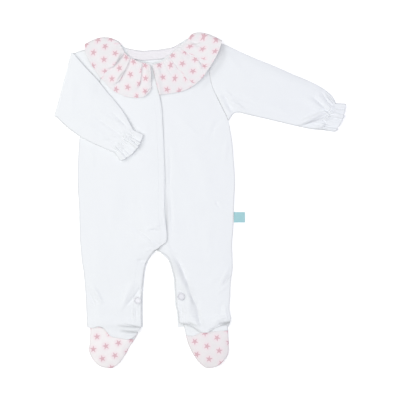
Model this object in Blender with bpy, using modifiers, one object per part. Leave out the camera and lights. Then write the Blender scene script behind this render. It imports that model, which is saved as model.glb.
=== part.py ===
"""A footed baby sleepsuit, laid flat on its back with one sleeve folded over the front.

Lengths below are in millimetres, x to the wearer's left, y towards the head and z up from the
surface that the suit lies on. Right and left are the wearer's own. Each piece is an open surface,
the side of the cloth that faces the next piece below or inside, and a Solidify modifier gives it
its wall. Pieces that meet at a seam stay GAP apart.
"""

import math

import bmesh
import bpy
from mathutils import Matrix, Vector

MM = 0.001

# Cloth
WALL = 1.2  # body jersey
PRINT_WALL = 1.0  # printed cotton of the collar and feet
TAPE_WALL = 1.0  # tape over the inside of the back neck
GAP = 0.3

# Soft loft of the cloth over what lies below it
TORSO_LOFT = 1.4
LEG_LOFT = 2.4
HEM_LOFT = 0.5  # more at a leg's end, where it pouches over its ankle band
FOOT_LOFT = 4.2
SLEEVE_LOFT = 2.6
FOREARM_LOFT = 1.8  # of the folded sleeve, which lies on the front

# Edges of the body, from the shoulder tip down to the ankle: x, y
RIGHT_SIDE = [
    (-144.5, 229), (-146, 210), (-149, 186), (-155, 165), (-164, 141), (-173, 119), (-180.5, 96),
    (-182.5, 75), (-184, 45), (-183.5, 15), (-182, -6), (-180.5, -56), (-179, -75), (-177.5, -92),
    (-174.5, -110), (-173, -129), (-171.5, -150), (-170.5, -173), (-169.5, -190),
]
LEFT_SIDE = [
    (10, 238), (11.5, 210), (14.5, 186), (19, 168), (29.5, 146), (42, 119), (47, 92), (49, 75),
    (50.5, 54), (52, 33), (51.5, 15), (50.5, -3), (50, -21), (49, -48), (47.5, -66), (48.5, -101),
    (46, -120), (45, -138), (44, -156), (44, -165), (46, -177), (43.5, -187),
]
CROTCH = (-66, -75)
RIGHT_INSEAM = [
    CROTCH, (-74, -83.5), (-78.5, -92.5), (-81.5, -101.5), (-83, -110.5), (-84.5, -124),
    (-86, -146.5), (-86, -190),
]
LEFT_INSEAM = [
    CROTCH, (-51.5, -83.5), (-47, -92.5), (-44, -101.5), (-41.5, -110.5), (-39.5, -124),
    (-38, -155), (-35, -169), (-34, -184),
]
UNDERARM_Y = 119
FRONT_INSEAM_SETBACK = 2  # the back shows this far beyond the front along each inseam

# Free edges of the two fronts from the neck to the crotch: the right front lies over the left
RIGHT_FRONT_EDGE = [
    (-66, 204.5), (-65, 177.5), (-60.5, 153.5), (-57.5, 135.5), (-54.5, 75.5), (-53, 30.5),
    (-53.5, 0), (-53, -22), (-50, -58), (-58, -68), (-68, -76.5),
]
LEFT_FRONT_EDGE = [
    (-82, 206), (-81, 177), (-77, 153), (-74, 135), (-71, 75), (-70, 30), (-70, -22), (-69, -55),
    (-62, -75),
]
OVERLAP_RAMP = 38  # how far the right front takes to come down beyond the left front's edge
OVERLAP_CLEAR = 5  # how far beyond that edge it stays up
LAID_ON = 0.25  # more clearance where one curved piece lies on another

# Neck edges from right to left, with the shoulder line at each end
BACK_TOP = [
    (-144.5, 229), (-118, 233.5), (-114, 229.5), (-108, 227.5), (-98, 225.5), (-86, 224),
    (-66, 225.5), (-60, 226), (-45, 228.5), (-38, 231), (-30, 236), (-22, 241), (-14, 244.5),
    (10, 238),
]
BACK_TOP_CENTRE = 6  # row of BACK_TOP on the centre line
RIGHT_FRONT_TOP = [
    (-144.5, 229), (-119, 233.5), (-114.5, 222.5), (-105.5, 215), (-95, 209), (-87.5, 206.5),
    (-75.5, 205.5), (-66, 204.5),
]
LEFT_FRONT_TOP = [
    (-82, 206), (-70, 205.5), (-60.5, 208), (-52, 214), (-44, 220.5), (-36, 227.5),
    (-28, 234.5), (-13, 244.5), (10, 238),
]

# Hems of the two legs, from right to left: x, y
RIGHT_HEM = [
    (-169.5, -190), (-162, -191.5), (-154, -189.5), (-147, -190.5), (-141.5, -195), (-136, -202.5),
    (-128, -205.5), (-118, -207), (-109, -208.5), (-102, -206.5), (-96, -201.5), (-88, -190),
]
LEFT_HEM = [
    (-32, -184), (-26, -185.5), (-18, -187.5), (-10, -191), (-3, -196), (5, -198.5), (12, -197.5),
    (21, -192), (32, -187.5), (43.5, -187),
]

# Sleeves: edges from the armhole to the wrist
LEFT_SLEEVE_UPPER = [
    (10, 238), (32.5, 234.5), (53.5, 225.5), (80.5, 213.5), (110.5, 201.5), (137.5, 189.5),
    (166, 177.5), (187, 165.5), (198.5, 155), (203, 145.5),
]
LEFT_SLEEVE_LOWER = [
    (42, 119), (49, 129.5), (58, 132), (68, 129.5), (98.5, 122.5), (124, 116.5), (149.5, 110.5),
    (168, 107), (182, 106),
]
RIGHT_UPPER_ARM_UPPER = [(-144.5, 229), (-171, 226), (-190, 220.5)]
RIGHT_UPPER_ARM_LOWER = [(-173, 119), (-195, 119.5), (-215.5, 125)]
RIGHT_FOREARM_UPPER = [
    (-190, 220.5), (-172, 199.5), (-155.5, 182.5), (-140, 163), (-123.5, 143.5), (-112, 127),
    (-100, 105),
]
RIGHT_FOREARM_LOWER = [
    (-215.5, 125), (-198.5, 109), (-180.5, 96), (-160, 85.5), (-143, 78), (-128.5, 71.5),
]
FOLD_OUTWARD = (-0.966, 0.257)  # across the sleeve's fold line, away from the body
FOLD_TURNS = (30, 60, 90, 120, 150)  # degrees through the fold
SLEEVE_EDGE_GAP = 0.5  # between a sleeve's two layers at its edges
SLEEVE_ALLOWANCE = 1.2  # clear height over a sleeve beside the shoulder

# Cuff frills: the far edge, from the sleeve's upper edge to its lower edge
LEFT_CUFF_END = [(219.4, 144.5), (217, 132), (213, 118), (203, 102.5)]
RIGHT_CUFF_END = [(-84.5, 98), (-91, 83), (-103, 68), (-119, 59)]
CUFF_WAVES = 7
CUFF_WAVE_HEIGHT = 1.5
CUFF_START = 0.07  # share of the frill's length that is the seam's gap
CUFF_WAVE_AT_WRIST = 0.25  # share of the waves' height there

# Ruffle collar, a row for each rib from neck seam to free edge, and how high its edge stands:
# neck x, y, middle x, y, edge x, y, stand
LEFT_RIBS = [
    (-72, 203.5, -68, 183.5, -61.5, 158, 1.0),
    (-60.5, 205.5, -51.5, 183.5, -41, 160.5, 1.6),
    (-52, 211.5, -36.5, 188, -20, 166, 1.6),
    (-44, 218.5, -21.5, 195.5, -0.5, 179.5, 3.4),
    (-36, 226, -9.5, 209, 14.5, 199, 6.0),
    (-28, 232.5, 1, 225.5, 26.5, 220, 8.0),
    (-19, 240, 7, 238, 32, 234.5, 6.0),
]
LEFT_FOLD_RIB = (-14.5, 247.5, 4.3, 250.8, 33, 238.8, 3.0)
RIGHT_FOLD_RIB = (-122, 237.5, -146, 244, -173, 233.5, 3.0)
RIGHT_RIBS = [
    (-121, 235, -146, 233, -172.5, 224, 2.6),
    (-118, 230, -141.5, 220, -165.5, 207.5, 2.0),
    (-115, 224.5, -131, 205.5, -151, 185.5, 3.4),
    (-110.5, 218.5, -125.5, 196, -141.5, 175.5, 0.8),
    (-105.5, 214, -116.5, 189, -130.5, 164, 3.2),
    (-96.5, 209.5, -103, 183.5, -109, 155, 0.8),
    (-88, 206.5, -89.5, 182, -92, 153.5, 3.0),
    (-81.5, 205, -80.5, 182, -82, 156.5, 1.6),
    (-74.5, 203, -73.5, 183, -73, 166, 3.0),
]
# The back of the collar lies under the back panel, its edge on a tilted ellipse
RUFFLE_CENTRE = (-70, 232)
RUFFLE_HALF_WIDTH = 101
RUFFLE_DEPTH = 58
RUFFLE_TILT = math.radians(3.3)
RUFFLE_SHOULDER = 8  # degrees round the ellipse where the back of the collar starts
LIFT_ENDS = (1.04, 1.35)  # over how much of the ellipse's radius the cloth comes down beyond it
BACK_WAVES = 7
BACK_WAVE = 0.8
BED_OVER_RUFFLE = PRINT_WALL + BACK_WAVE + GAP

# Feet, from the ankle to the toe: x, y
RIGHT_FOOT_OUTER = [(-164.5, -176), (-165, -200), (-166, -217), (-167.5, -224), (-162.5, -236.5)]
RIGHT_FOOT_INNER = [(-91, -176), (-92.5, -196), (-97, -207), (-105.5, -219), (-114.5, -235), (-122, -245)]
RIGHT_TOE = [(-162.5, -236.5), (-153.5, -247), (-143, -251), (-132, -251.5), (-122, -245)]
LEFT_FOOT_OUTER = [(40, -176), (42, -202), (42.5, -227.5), (38.5, -237)]
LEFT_FOOT_INNER = [(-27, -176), (-24.5, -188.5), (-20, -209.5), (-12.5, -227.5), (-3.5, -241)]
LEFT_TOE = [(-3.5, -241), (6, -250), (13, -251.8), (26.5, -248.5), (38.5, -237)]
# Seam between the plain ankle band and the printed upper
RIGHT_FOOT_SEAM = [
    (-164.7, -188.5), (-150.5, -190), (-140, -196), (-132.5, -203), (-122, -204.5),
    (-113, -206.5), (-98.5, -209),
]
LEFT_FOOT_SEAM = [(-21.5, -203), (-11, -203.5), (-2, -200), (4, -197), (19, -197), (41.7, -195.5)]
ANKLE_Y = -190  # level of the back's hem, where the soles start
ANKLE_ENDS = (-222, -196)  # levels between which a foot comes down towards its ankle
ANKLE_DIP = 0.6  # share of the foot's loft that it loses there
TOE_ROUND = 30  # length over which the toe rounds off
BAND_TUCK = 5  # how far an ankle band reaches up under the leg's hem
BAND_CLEARANCE = 0.1  # more than GAP along the curved seam

# Trims
SNAP_RADIUS = 5.6
SNAP_HEIGHT = 1.5
SNAP_FACE = 0.6  # height inside the raised ring
SNAP_RING = 1.6  # width of that ring
SNAP_BEVEL = 0.7
SNAP_STEPS = 20
RIGHT_SNAP = (-94, -150)
LEFT_SNAP = (-28.5, -144)
TAPE_WIDTH = 14
TAPE_INSET = 0.5
TAPE_ENDS = (-108, -30)  # x of its two ends
TAB_LENGTH = 16.5
TAB_HEIGHT = 15.5
TAB_Y = -25.5
TAB_WALL = 1.2
TAB_BEVEL = 0.35

# Largest creases of the fronts, soft ridges: start x, y, end x, y, half width, height
CREASES = [
    (-171, -136, -158, -155, 7, 1.5),
    (45, -112, 32, -128, 7, 1.2),
    (-96, -136, -108, -166, 8, 1.6),
    (-42, -84, -5, -176, 8, 1.3),
    (-88, -46, -78, -64, 6, 1.0),
    (-46, -16, -41, -58, 7, 1.0),
    (146, 130, 190, 118, 7, 1.8),
    (168, 152, 190, 136, 6, 1.2),
    (42, 150, 66, 132, 8, 1.2),
]

# Grid steps
ROWS_TO_CROTCH = 24
ROWS_BELOW_CROTCH = 13
COLUMNS = 8
SLEEVE_COLUMNS = 8
COLLAR_ROWS = 6
WELD = 0.01

WHITE = (0.86, 0.88, 0.90, 1)
PRINT = (0.88, 0.78, 0.80, 1)
SNAP_WHITE = (0.80, 0.81, 0.84, 1)
AQUA = (0.35, 0.68, 0.70, 1)


def clear_scene():
    for old in list(bpy.data.objects):
        bpy.data.objects.remove(old, do_unlink=True)


def material(name, colour, roughness):
    made = bpy.data.materials.new(name)
    made.use_nodes = True
    shader = made.node_tree.nodes["Principled BSDF"]
    shader.inputs["Base Color"].default_value = colour
    shader.inputs["Roughness"].default_value = roughness
    shader.inputs["Metallic"].default_value = 0
    return made


def mix(a, b, share):
    return tuple(p + (q - p) * share for p, q in zip(a, b))


def ease(start, end, value):
    """0 before start, 1 after end and a smooth step between them."""
    share = min(1, max(0, (value - start) / (end - start)))
    return share * share * (3 - 2 * share)


def smooth_rows(rows, steps):
    """A finer table on a Catmull-Rom curve through the rows of a short one."""
    ends = [rows[0], *rows, rows[-1]]
    finer = []
    for before, start, end, after in zip(ends, ends[1:], ends[2:], ends[3:]):
        for step in range(steps):
            t = step / steps
            weights = (
                (-t + 2 * t**2 - t**3) / 2,
                (2 - 5 * t**2 + 3 * t**3) / 2,
                (t + 4 * t**2 - 3 * t**3) / 2,
                (-(t**2) + t**3) / 2,
            )
            around = zip(before, start, end, after)
            finer.append(tuple(sum(w * v for w, v in zip(weights, values)) for values in around))
    finer.append(tuple(rows[-1]))
    return finer


def along(line, share):
    """The point at this share of a line's length."""
    lengths = [math.dist(a, b) for a, b in zip(line, line[1:])]
    left = share * sum(lengths)
    for a, b, length in zip(line, line[1:], lengths):
        if left <= length:
            return mix(a, b, left / length)
        left -= length
    return line[-1]


def at_level(outline, y):
    """x at level y of an outline that runs downwards."""
    for (x0, y0), (x1, y1) in zip(outline, outline[1:]):
        if y >= y1:
            return x0 + (x1 - x0) * min(1, max(0, (y0 - y) / (y0 - y1)))
    return outline[-1][0]


def by_level(outline):
    """A side edge as a function of the share of its height."""
    top, bottom = outline[0][1], outline[-1][1]

    def point(share):
        y = top + (bottom - top) * share
        return at_level(outline, y), y

    return point


def by_length(line):
    """An edge as a function of the share of its length."""
    return lambda share: along(line, share)


def patch(top, bottom, left, right, rows, columns):
    """Rows of plan points between four edges, a Coons patch."""
    across = [step / columns for step in range(columns + 1)]
    grid = []
    for down in rows:
        row = []
        for share in across:
            crossed = mix(top(share), bottom(share), down)
            sides = mix(left(down), right(down), share)
            corners = mix(mix(top(0), top(1), share), mix(bottom(0), bottom(1), share), down)
            row.append(tuple(c + s - k for c, s, k in zip(crossed, sides, corners)))
        grid.append(row)
    return grid


def even(count):
    return [step / count for step in range(count + 1)]


def crown(share, power=4):
    """1 over the middle of a piece, falling to 0 at its two edges."""
    share = min(1, max(0, share))
    return 1 - abs(2 * share - 1) ** power


RIGHT_OUTLINE = smooth_rows(RIGHT_SIDE, 4)
LEFT_OUTLINE = smooth_rows(LEFT_SIDE, 4)
RIGHT_INNER = smooth_rows(RIGHT_INSEAM, 4)
LEFT_INNER = smooth_rows(LEFT_INSEAM, 4)
LEFT_FREE_EDGE = smooth_rows(LEFT_FRONT_EDGE, 4)
RIGHT_FREE_EDGE = smooth_rows(RIGHT_FRONT_EDGE, 4)
RIGHT_HEM_LINE = smooth_rows(RIGHT_HEM, 3)
LEFT_HEM_LINE = smooth_rows(LEFT_HEM, 3)


def level_at(line, x):
    """y at x of a line that runs to the left."""
    for (x0, y0), (x1, y1) in zip(line, line[1:]):
        if x <= x1:
            return y0 + (y1 - y0) * min(1, max(0, (x - x0) / (x1 - x0)))
    return line[-1][1]


def lift(x, y):
    """How far the back of the collar raises what lies on it."""
    dx, dy = x - RUFFLE_CENTRE[0], y - RUFFLE_CENTRE[1]
    across = dx * math.cos(RUFFLE_TILT) + dy * math.sin(RUFFLE_TILT)
    down = dy * math.cos(RUFFLE_TILT) - dx * math.sin(RUFFLE_TILT)
    reach = math.hypot(across / RUFFLE_HALF_WIDTH, down / RUFFLE_DEPTH)
    return BED_OVER_RUFFLE * (1 - ease(*LIFT_ENDS, reach))


def creases(x, y):
    """Height of the crease ridges at a point."""
    height = 0
    for x0, y0, x1, y1, half_width, ridge in CREASES:
        length = math.dist((x0, y0), (x1, y1))
        ux, uy = (x1 - x0) / length, (y1 - y0) / length
        run = (x - x0) * ux + (y - y0) * uy
        off = (x - x0) * uy - (y - y0) * ux
        if -half_width < run < length + half_width and abs(off) < 2 * half_width:
            taper = crown((run + half_width) / (length + 2 * half_width), 2)
            height += ridge * taper * math.exp(-((off / half_width) ** 2) * 2)
    return height


def loft(x, y):
    """How far the fronts stand off the back at a point."""
    right, left = at_level(RIGHT_OUTLINE, y), at_level(LEFT_OUTLINE, y)
    torso = TORSO_LOFT * crown((x - right) / (left - right))
    if y > CROTCH[1] + 35:
        return torso
    if x < CROTCH[0]:
        share = (x - right) / (at_level(RIGHT_INNER, y) - right)
        hem = level_at(RIGHT_HEM_LINE, x)
    else:
        inner = at_level(LEFT_INNER, y)
        share = (x - inner) / (left - inner)
        hem = level_at(LEFT_HEM_LINE, x)
    leg = LEG_LOFT * crown(share)
    pouch = HEM_LOFT * crown(share, 8) * (1 - ease(8, 30, y - hem))
    over_band = (WALL + GAP) * (1 - ease(7, 18, y - max(hem, ANKLE_Y)))
    below = ease(CROTCH[1] + 35, CROTCH[1] - 15, y)
    return torso * (1 - below) + (leg + pouch + over_band) * below


def front_bed(x, y):
    """Underside of the left front, and of the right front clear of the overlap."""
    return lift(x, y) + WALL + GAP + loft(x, y) + creases(x, y)


def overlap_rise(x, y):
    """How far the right front rises over the left front's edge."""
    near = at_level(LEFT_FREE_EDGE, y) - OVERLAP_CLEAR
    over = ease(near - OVERLAP_RAMP, near, x) * ease(CROTCH[1] - 14, CROTCH[1] - 4, y)
    return (WALL + GAP + LAID_ON) * over


def right_front_bed(x, y):
    """Underside of the right front."""
    return front_bed(x, y) + overlap_rise(x, y)


def collar_bed(x, y):
    """Lowest level of the collar over the fronts and the roots of the sleeves."""
    edge = at_level(RIGHT_FREE_EDGE, y)
    rise = overlap_rise(x, y) * (1 - ease(edge + 1, edge + 9, x))
    beside = ease(2, 12, x) + 1 - ease(-146, -136, x)
    return front_bed(x, y) + rise + WALL + GAP + LAID_ON + SLEEVE_ALLOWANCE * beside


def forearm_bed(x, y):
    """Level that the folded sleeve lies on: the right front, then the upper arm."""
    beside = 1 - ease(-168, -150, x)
    return right_front_bed(x, y) + WALL + GAP + LAID_ON + SLEEVE_ALLOWANCE * beside


def add_surface(name, rows, wall, look, around=False):
    """An open surface through rows of points in millimetres, thickened on its outer side.

    With rows that run downwards and columns that run to the right, that is the upper side.
    """
    mesh = bpy.data.meshes.new(name)
    shape = bmesh.new()
    verts = [[shape.verts.new([v * MM for v in point]) for point in row] for row in rows]
    for row, below in zip(verts, verts[1:]):
        for c in range(len(row) if around else len(row) - 1):
            d = (c + 1) % len(row)
            shape.faces.new((row[c], below[c], below[d], row[d]))
    shape.to_mesh(mesh)
    shape.free()
    return add_piece(name, mesh, wall, look)


def add_piece(name, mesh, wall, look):
    mesh.materials.append(look)
    mesh.shade_smooth()
    piece = bpy.data.objects.new(name, mesh)
    suit.objects.link(piece)
    thicken = piece.modifiers.new("wall", "SOLIDIFY")
    thicken.thickness = wall * MM
    thicken.offset = 1
    thicken.use_quality_normals = True
    return piece


def raised(grid, bed):
    """A plan grid with the height that a function gives at each point."""
    return [[(x, y, bed(x, y)) for x, y in row] for row in grid]


def make_back():
    """One panel with both legs: two halves that share the centre line down to the crotch."""
    centre_top = BACK_TOP[BACK_TOP_CENTRE]
    crotch_share = (centre_top[1] - CROTCH[1]) / (centre_top[1] - ANKLE_Y)
    rows = [crotch_share * share for share in even(ROWS_TO_CROTCH)[:-1]]
    rows += [crotch_share + (1 - crotch_share) * share for share in even(ROWS_BELOW_CROTCH)]
    right_side = trimmed(RIGHT_OUTLINE, ANKLE_Y)
    left_side = trimmed(LEFT_OUTLINE, ANKLE_Y)
    right_inseam = [centre_top, *trimmed(RIGHT_INNER, ANKLE_Y)]
    left_inseam = [centre_top, *trimmed(LEFT_INNER, ANKLE_Y)]
    halves = (
        (BACK_TOP[: BACK_TOP_CENTRE + 1], right_side, right_inseam),
        (BACK_TOP[BACK_TOP_CENTRE:], left_inseam, left_side),
    )
    mesh = bpy.data.meshes.new("back")
    shape = bmesh.new()
    for top, left_edge, right_edge in halves:
        bottom = [left_edge[-1], right_edge[-1]]
        grid = patch(
            by_length(top), by_length(bottom), by_level(left_edge), by_level(right_edge), rows, COLUMNS
        )
        verts = [[shape.verts.new([v * MM for v in point]) for point in row] for row in raised(grid, lift)]
        for row, below in zip(verts, verts[1:]):
            for c in range(COLUMNS):
                shape.faces.new((row[c], below[c], below[c + 1], row[c + 1]))
    bmesh.ops.remove_doubles(shape, verts=shape.verts, dist=WELD * MM)
    shape.to_mesh(mesh)
    shape.free()
    add_piece("back", mesh, WALL, white)


def trimmed(outline, y):
    """An outline that ends at level y."""
    kept = [point for point in outline if point[1] > y]
    return [*kept, (at_level(outline, y), y)]


def set_back(inseam, distance):
    """The inseam edge of a front, short of the back's."""
    return [(x + distance, y) for x, y in inseam[2:]]


def make_fronts():
    rows = even(ROWS_TO_CROTCH + ROWS_BELOW_CROTCH)
    right_edge = smooth_rows([*RIGHT_FRONT_EDGE, *set_back(RIGHT_INSEAM, -FRONT_INSEAM_SETBACK)], 4)
    grid = patch(
        by_length(RIGHT_FRONT_TOP), by_length(RIGHT_HEM_LINE),
        by_level(RIGHT_OUTLINE), by_level(right_edge), rows, COLUMNS + 2,
    )
    add_surface("front_right", raised(grid, right_front_bed), WALL, white)
    left_edge = smooth_rows([*LEFT_FRONT_EDGE, *set_back(LEFT_INSEAM, FRONT_INSEAM_SETBACK)], 4)
    grid = patch(
        by_length(LEFT_FRONT_TOP), by_length(LEFT_HEM_LINE),
        by_level(left_edge), by_level(LEFT_OUTLINE), rows, COLUMNS + 2,
    )
    add_surface("front_left", raised(grid, front_bed), WALL, white)


def ring(cores):
    """Inner points round a flattened tube: one layer across, then the other one back.

    Each core has a middle point, the way that the first layer faces, and the layers' distance.
    """
    first = [tuple(p + u * gap / 2 for p, u in zip(point, up)) for point, up, gap in cores]
    second = [tuple(p - u * gap / 2 for p, u in zip(point, up)) for point, up, gap in cores]
    return first + second[::-1]


def armhole(side):
    """An armhole edge just outside the panels, from the shoulder tip to the underarm."""
    outward = math.copysign(GAP + LAID_ON, side[0][0])
    return [(x + outward, y) for x, y in trimmed(side, UNDERARM_Y)]


def flat_sleeve_rows(grid, bed, gaps, up=1):
    """Rings of a sleeve that lies flat on a bed, or face down where up is -1."""
    rows = []
    for down, row in zip(even(len(grid) - 1), grid):
        cores = []
        for share, (x, y) in zip(even(len(row) - 1), row):
            gap = gaps(share, down, x, y)
            cores.append(((x, y, bed(x, y) + WALL + gap / 2), (0, 0, up), gap))
        rows.append(ring(cores))
    return rows


def make_left_sleeve():
    top = armhole(LEFT_OUTLINE)[::-1]
    lower, upper = smooth_rows(LEFT_SLEEVE_LOWER, 4), smooth_rows(LEFT_SLEEVE_UPPER, 4)
    lower[0], upper[0] = top[0], top[-1]
    wrist = [lower[-1], upper[-1]]
    grid = patch(
        by_length(top), by_length(wrist), by_length(lower), by_length(upper), even(16), SLEEVE_COLUMNS
    )

    def gaps(share, down, x, y):
        return SLEEVE_EDGE_GAP + SLEEVE_LOFT * crown(share) * crown(down, 2) + creases(x, y)

    add_surface("sleeve_left", flat_sleeve_rows(grid, lift, gaps), WALL, white, around=True)
    add_cuff("cuff_left", wrist, LEFT_CUFF_END[::-1], lift, 1)


def make_right_sleeve():
    """Upper arm flat beside the shoulder, a fold, then the forearm face down over the front."""
    top = armhole(RIGHT_OUTLINE)
    upper, lower = smooth_rows(RIGHT_UPPER_ARM_UPPER, 4), smooth_rows(RIGHT_UPPER_ARM_LOWER, 4)
    upper[0], lower[0] = top[0], top[-1]
    fold = [upper[-1], lower[-1]]
    grid = patch(
        by_length(top), by_length(fold), by_length(upper), by_length(lower), even(5), SLEEVE_COLUMNS
    )
    rows = flat_sleeve_rows(grid, lift, lambda share, down, x, y: SLEEVE_EDGE_GAP)

    for turn in FOLD_TURNS:
        turned = math.radians(turn)
        cores = []
        for share in even(SLEEVE_COLUMNS):
            x, y = along(fold, share)
            low = lift(x, y) + WALL + SLEEVE_EDGE_GAP / 2
            high = forearm_bed(x, y) + WALL + SLEEVE_EDGE_GAP / 2
            radius = (high - low) / 2
            reach = radius * math.sin(turned)
            point = (
                x + FOLD_OUTWARD[0] * reach,
                y + FOLD_OUTWARD[1] * reach,
                low + radius * (1 - math.cos(turned)),
            )
            up = (
                -FOLD_OUTWARD[0] * math.sin(turned), -FOLD_OUTWARD[1] * math.sin(turned), math.cos(turned)
            )
            cores.append((point, up, SLEEVE_EDGE_GAP))
        rows.append(ring(cores))

    upper, lower = smooth_rows(RIGHT_FOREARM_UPPER, 4), smooth_rows(RIGHT_FOREARM_LOWER, 4)
    wrist = [upper[-1], lower[-1]]
    grid = patch(
        by_length(fold), by_length(wrist), by_length(upper), by_length(lower), even(12), SLEEVE_COLUMNS
    )

    def gaps(share, down, x, y):
        return SLEEVE_EDGE_GAP + FOREARM_LOFT * crown(share) * crown(down, 2)

    rows += flat_sleeve_rows(grid, forearm_bed, gaps, up=-1)
    add_surface("sleeve_right", rows, WALL, white, around=True)
    add_cuff("cuff_right", wrist, RIGHT_CUFF_END, forearm_bed, -1)


def add_cuff(name, wrist, end, bed, up):
    """A frill that flares from the elasticated wrist, in waves on its upper layer."""
    sides = [[along(wrist, share), along(end, share)] for share in (0, 1)]
    rows = [CUFF_START + (1 - CUFF_START) * share for share in even(3)]
    grid = patch(
        by_length(wrist), by_length(smooth_rows(end, 4)), by_length(sides[0]), by_length(sides[1]),
        rows, CUFF_WAVES * 3,
    )

    def gaps(share, down, x, y):
        wave = (1 - math.cos(2 * math.pi * CUFF_WAVES * share)) / 2
        height = CUFF_WAVE_HEIGHT * (CUFF_WAVE_AT_WRIST + (1 - CUFF_WAVE_AT_WRIST) * down)
        return SLEEVE_EDGE_GAP + height * wave * crown(share, 12)

    add_surface(name, flat_sleeve_rows(grid, bed, gaps, up), WALL, white, around=True)


def front_rib(rib):
    """Points of one rib of the collar, on the front, from the neck seam to the free edge."""
    neck, middle, edge, stand = rib[0:2], rib[2:4], rib[4:6], rib[6]
    points = []
    for share in even(COLLAR_ROWS):
        weights = ((1 - share) * (1 - 2 * share), 4 * share * (1 - share), share * (2 * share - 1))
        x, y = (sum(w * v for w, v in zip(weights, place)) for place in zip(neck, middle, edge))
        points.append((x, y, collar_bed(x, y) + stand * share**1.3))
    return points


def back_rib(share):
    """Points of one rib of the collar under the back; share 0 is at the left shoulder."""
    neck = along(BACK_TOP[1:-1], 1 - share)
    angle = -math.radians(RUFFLE_SHOULDER + (180 - 2 * RUFFLE_SHOULDER) * share)
    across, down = RUFFLE_HALF_WIDTH * math.cos(angle), RUFFLE_DEPTH * math.sin(angle)
    edge = (
        RUFFLE_CENTRE[0] + across * math.cos(RUFFLE_TILT) - down * math.sin(RUFFLE_TILT),
        RUFFLE_CENTRE[1] + across * math.sin(RUFFLE_TILT) + down * math.cos(RUFFLE_TILT),
    )
    wave = BACK_WAVE * (1 - math.cos(2 * math.pi * BACK_WAVES * share)) / 2
    return [(*mix(neck, edge, out), PRINT_WALL + wave * out) for out in even(COLLAR_ROWS)]


def shoulder_ribs(front, fold, back):
    """Ribs that carry the collar round a shoulder, from the front on top to the back below."""
    ribs = []
    for turn in FOLD_TURNS:
        turned = math.radians(turn)
        near = front if turn <= 90 else back
        rib = []
        for here, out, above, below in zip(near, fold, front, back):
            x, y = mix(here[:2], out[:2], math.sin(turned))
            z = (above[2] + below[2]) / 2 + (above[2] - below[2]) / 2 * math.cos(turned)
            rib.append((x, y, z))
        ribs.append(rib)
    return ribs


def make_collar():
    """One gathered strip from the left front's edge round under the back to the right's."""
    left = [front_rib(rib) for rib in smooth_rows(LEFT_RIBS, 3)]
    right = [front_rib(rib) for rib in smooth_rows(RIGHT_RIBS, 3)]
    back = [back_rib(share) for share in even(BACK_WAVES * 4)]
    round_left = shoulder_ribs(left[-1], front_rib(LEFT_FOLD_RIB), back[0])
    round_right = shoulder_ribs(right[0], front_rib(RIGHT_FOLD_RIB), back[-1])[::-1]
    ribs = left + round_left + back + round_right + right
    rows = [list(row) for row in zip(*ribs)]
    add_surface("collar", rows, PRINT_WALL, printed)


def make_neck_tape():
    """Tape along the inside of the back neck."""
    edge = [point for point in BACK_TOP if TAPE_ENDS[0] <= point[0] <= TAPE_ENDS[1]]
    rows = []
    for drop in (TAPE_INSET, TAPE_INSET + TAPE_WIDTH):
        row = [along(edge, share) for share in even(16)]
        rows.append([(x, y - drop, lift(x, y - drop) + WALL + GAP) for x, y in row])
    add_surface("neck_tape", rows, TAPE_WALL, white)


def make_foot(side, outer, inner, toe, seam, hem, sides_run_right):
    """Sole, printed upper and plain ankle band of one foot."""
    outer_line, inner_line = smooth_rows(outer, 4), smooth_rows(inner, 4)
    edges = (outer_line, inner_line) if sides_run_right else (inner_line, outer_line)
    toe_y = min(y for x, y in toe)

    def height(x, y):
        near, far = at_level(edges[0], y), at_level(edges[1], y)
        to_toe = min(1, max(0, (y - toe_y) / TOE_ROUND))
        ankle = 1 - ANKLE_DIP * ease(*ANKLE_ENDS, y)
        return FOOT_LOFT * crown((x - near) / (far - near)) * (1 - (1 - to_toe) ** 3) * ankle

    def bed(x, y):
        return PRINT_WALL + GAP + (WALL - PRINT_WALL) * ease(-200, ANKLE_Y, y) + height(x, y)

    def below(y):
        return [[(at_level(line, y), y), *[p for p in line if p[1] < y]] for line in edges]

    toe_line = smooth_rows(toe, 4)
    first, last = below(ANKLE_Y - GAP)
    grid = patch(
        by_length([first[0], last[0]]), by_length(toe_line), by_length(first), by_length(last), even(8), 8
    )
    add_surface("sole_" + side, raised(grid, lambda x, y: 0), PRINT_WALL, printed)

    seam_line = smooth_rows(seam, 4)
    first = [seam_line[0], *below(seam_line[0][1] - 3)[0][1:]]
    last = [seam_line[-1], *below(seam_line[-1][1] - 3)[1][1:]]
    grid = patch(by_length(seam_line), by_length(toe_line), by_length(first), by_length(last), even(9), 10)
    add_surface("foot_upper_" + side, raised(grid, bed), PRINT_WALL, printed)

    first, last = (at_level(line, ends[1] + BAND_TUCK) for line, ends in zip(edges, (hem[0], hem[-1])))
    across = [first + (last - first) * share for share in even(12)]
    tucked = [(x, max(level_at(hem, x), ANKLE_Y) + BAND_TUCK) for x in across]
    band_seam = [(x, y + GAP + BAND_CLEARANCE) for x, y in seam_line]
    grid = patch(
        by_length(tucked), by_length(band_seam), by_length([tucked[0], band_seam[0]]),
        by_length([tucked[-1], band_seam[-1]]), even(2), 12,
    )
    add_surface("ankle_band_" + side, raised(grid, bed), WALL, white)


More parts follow.
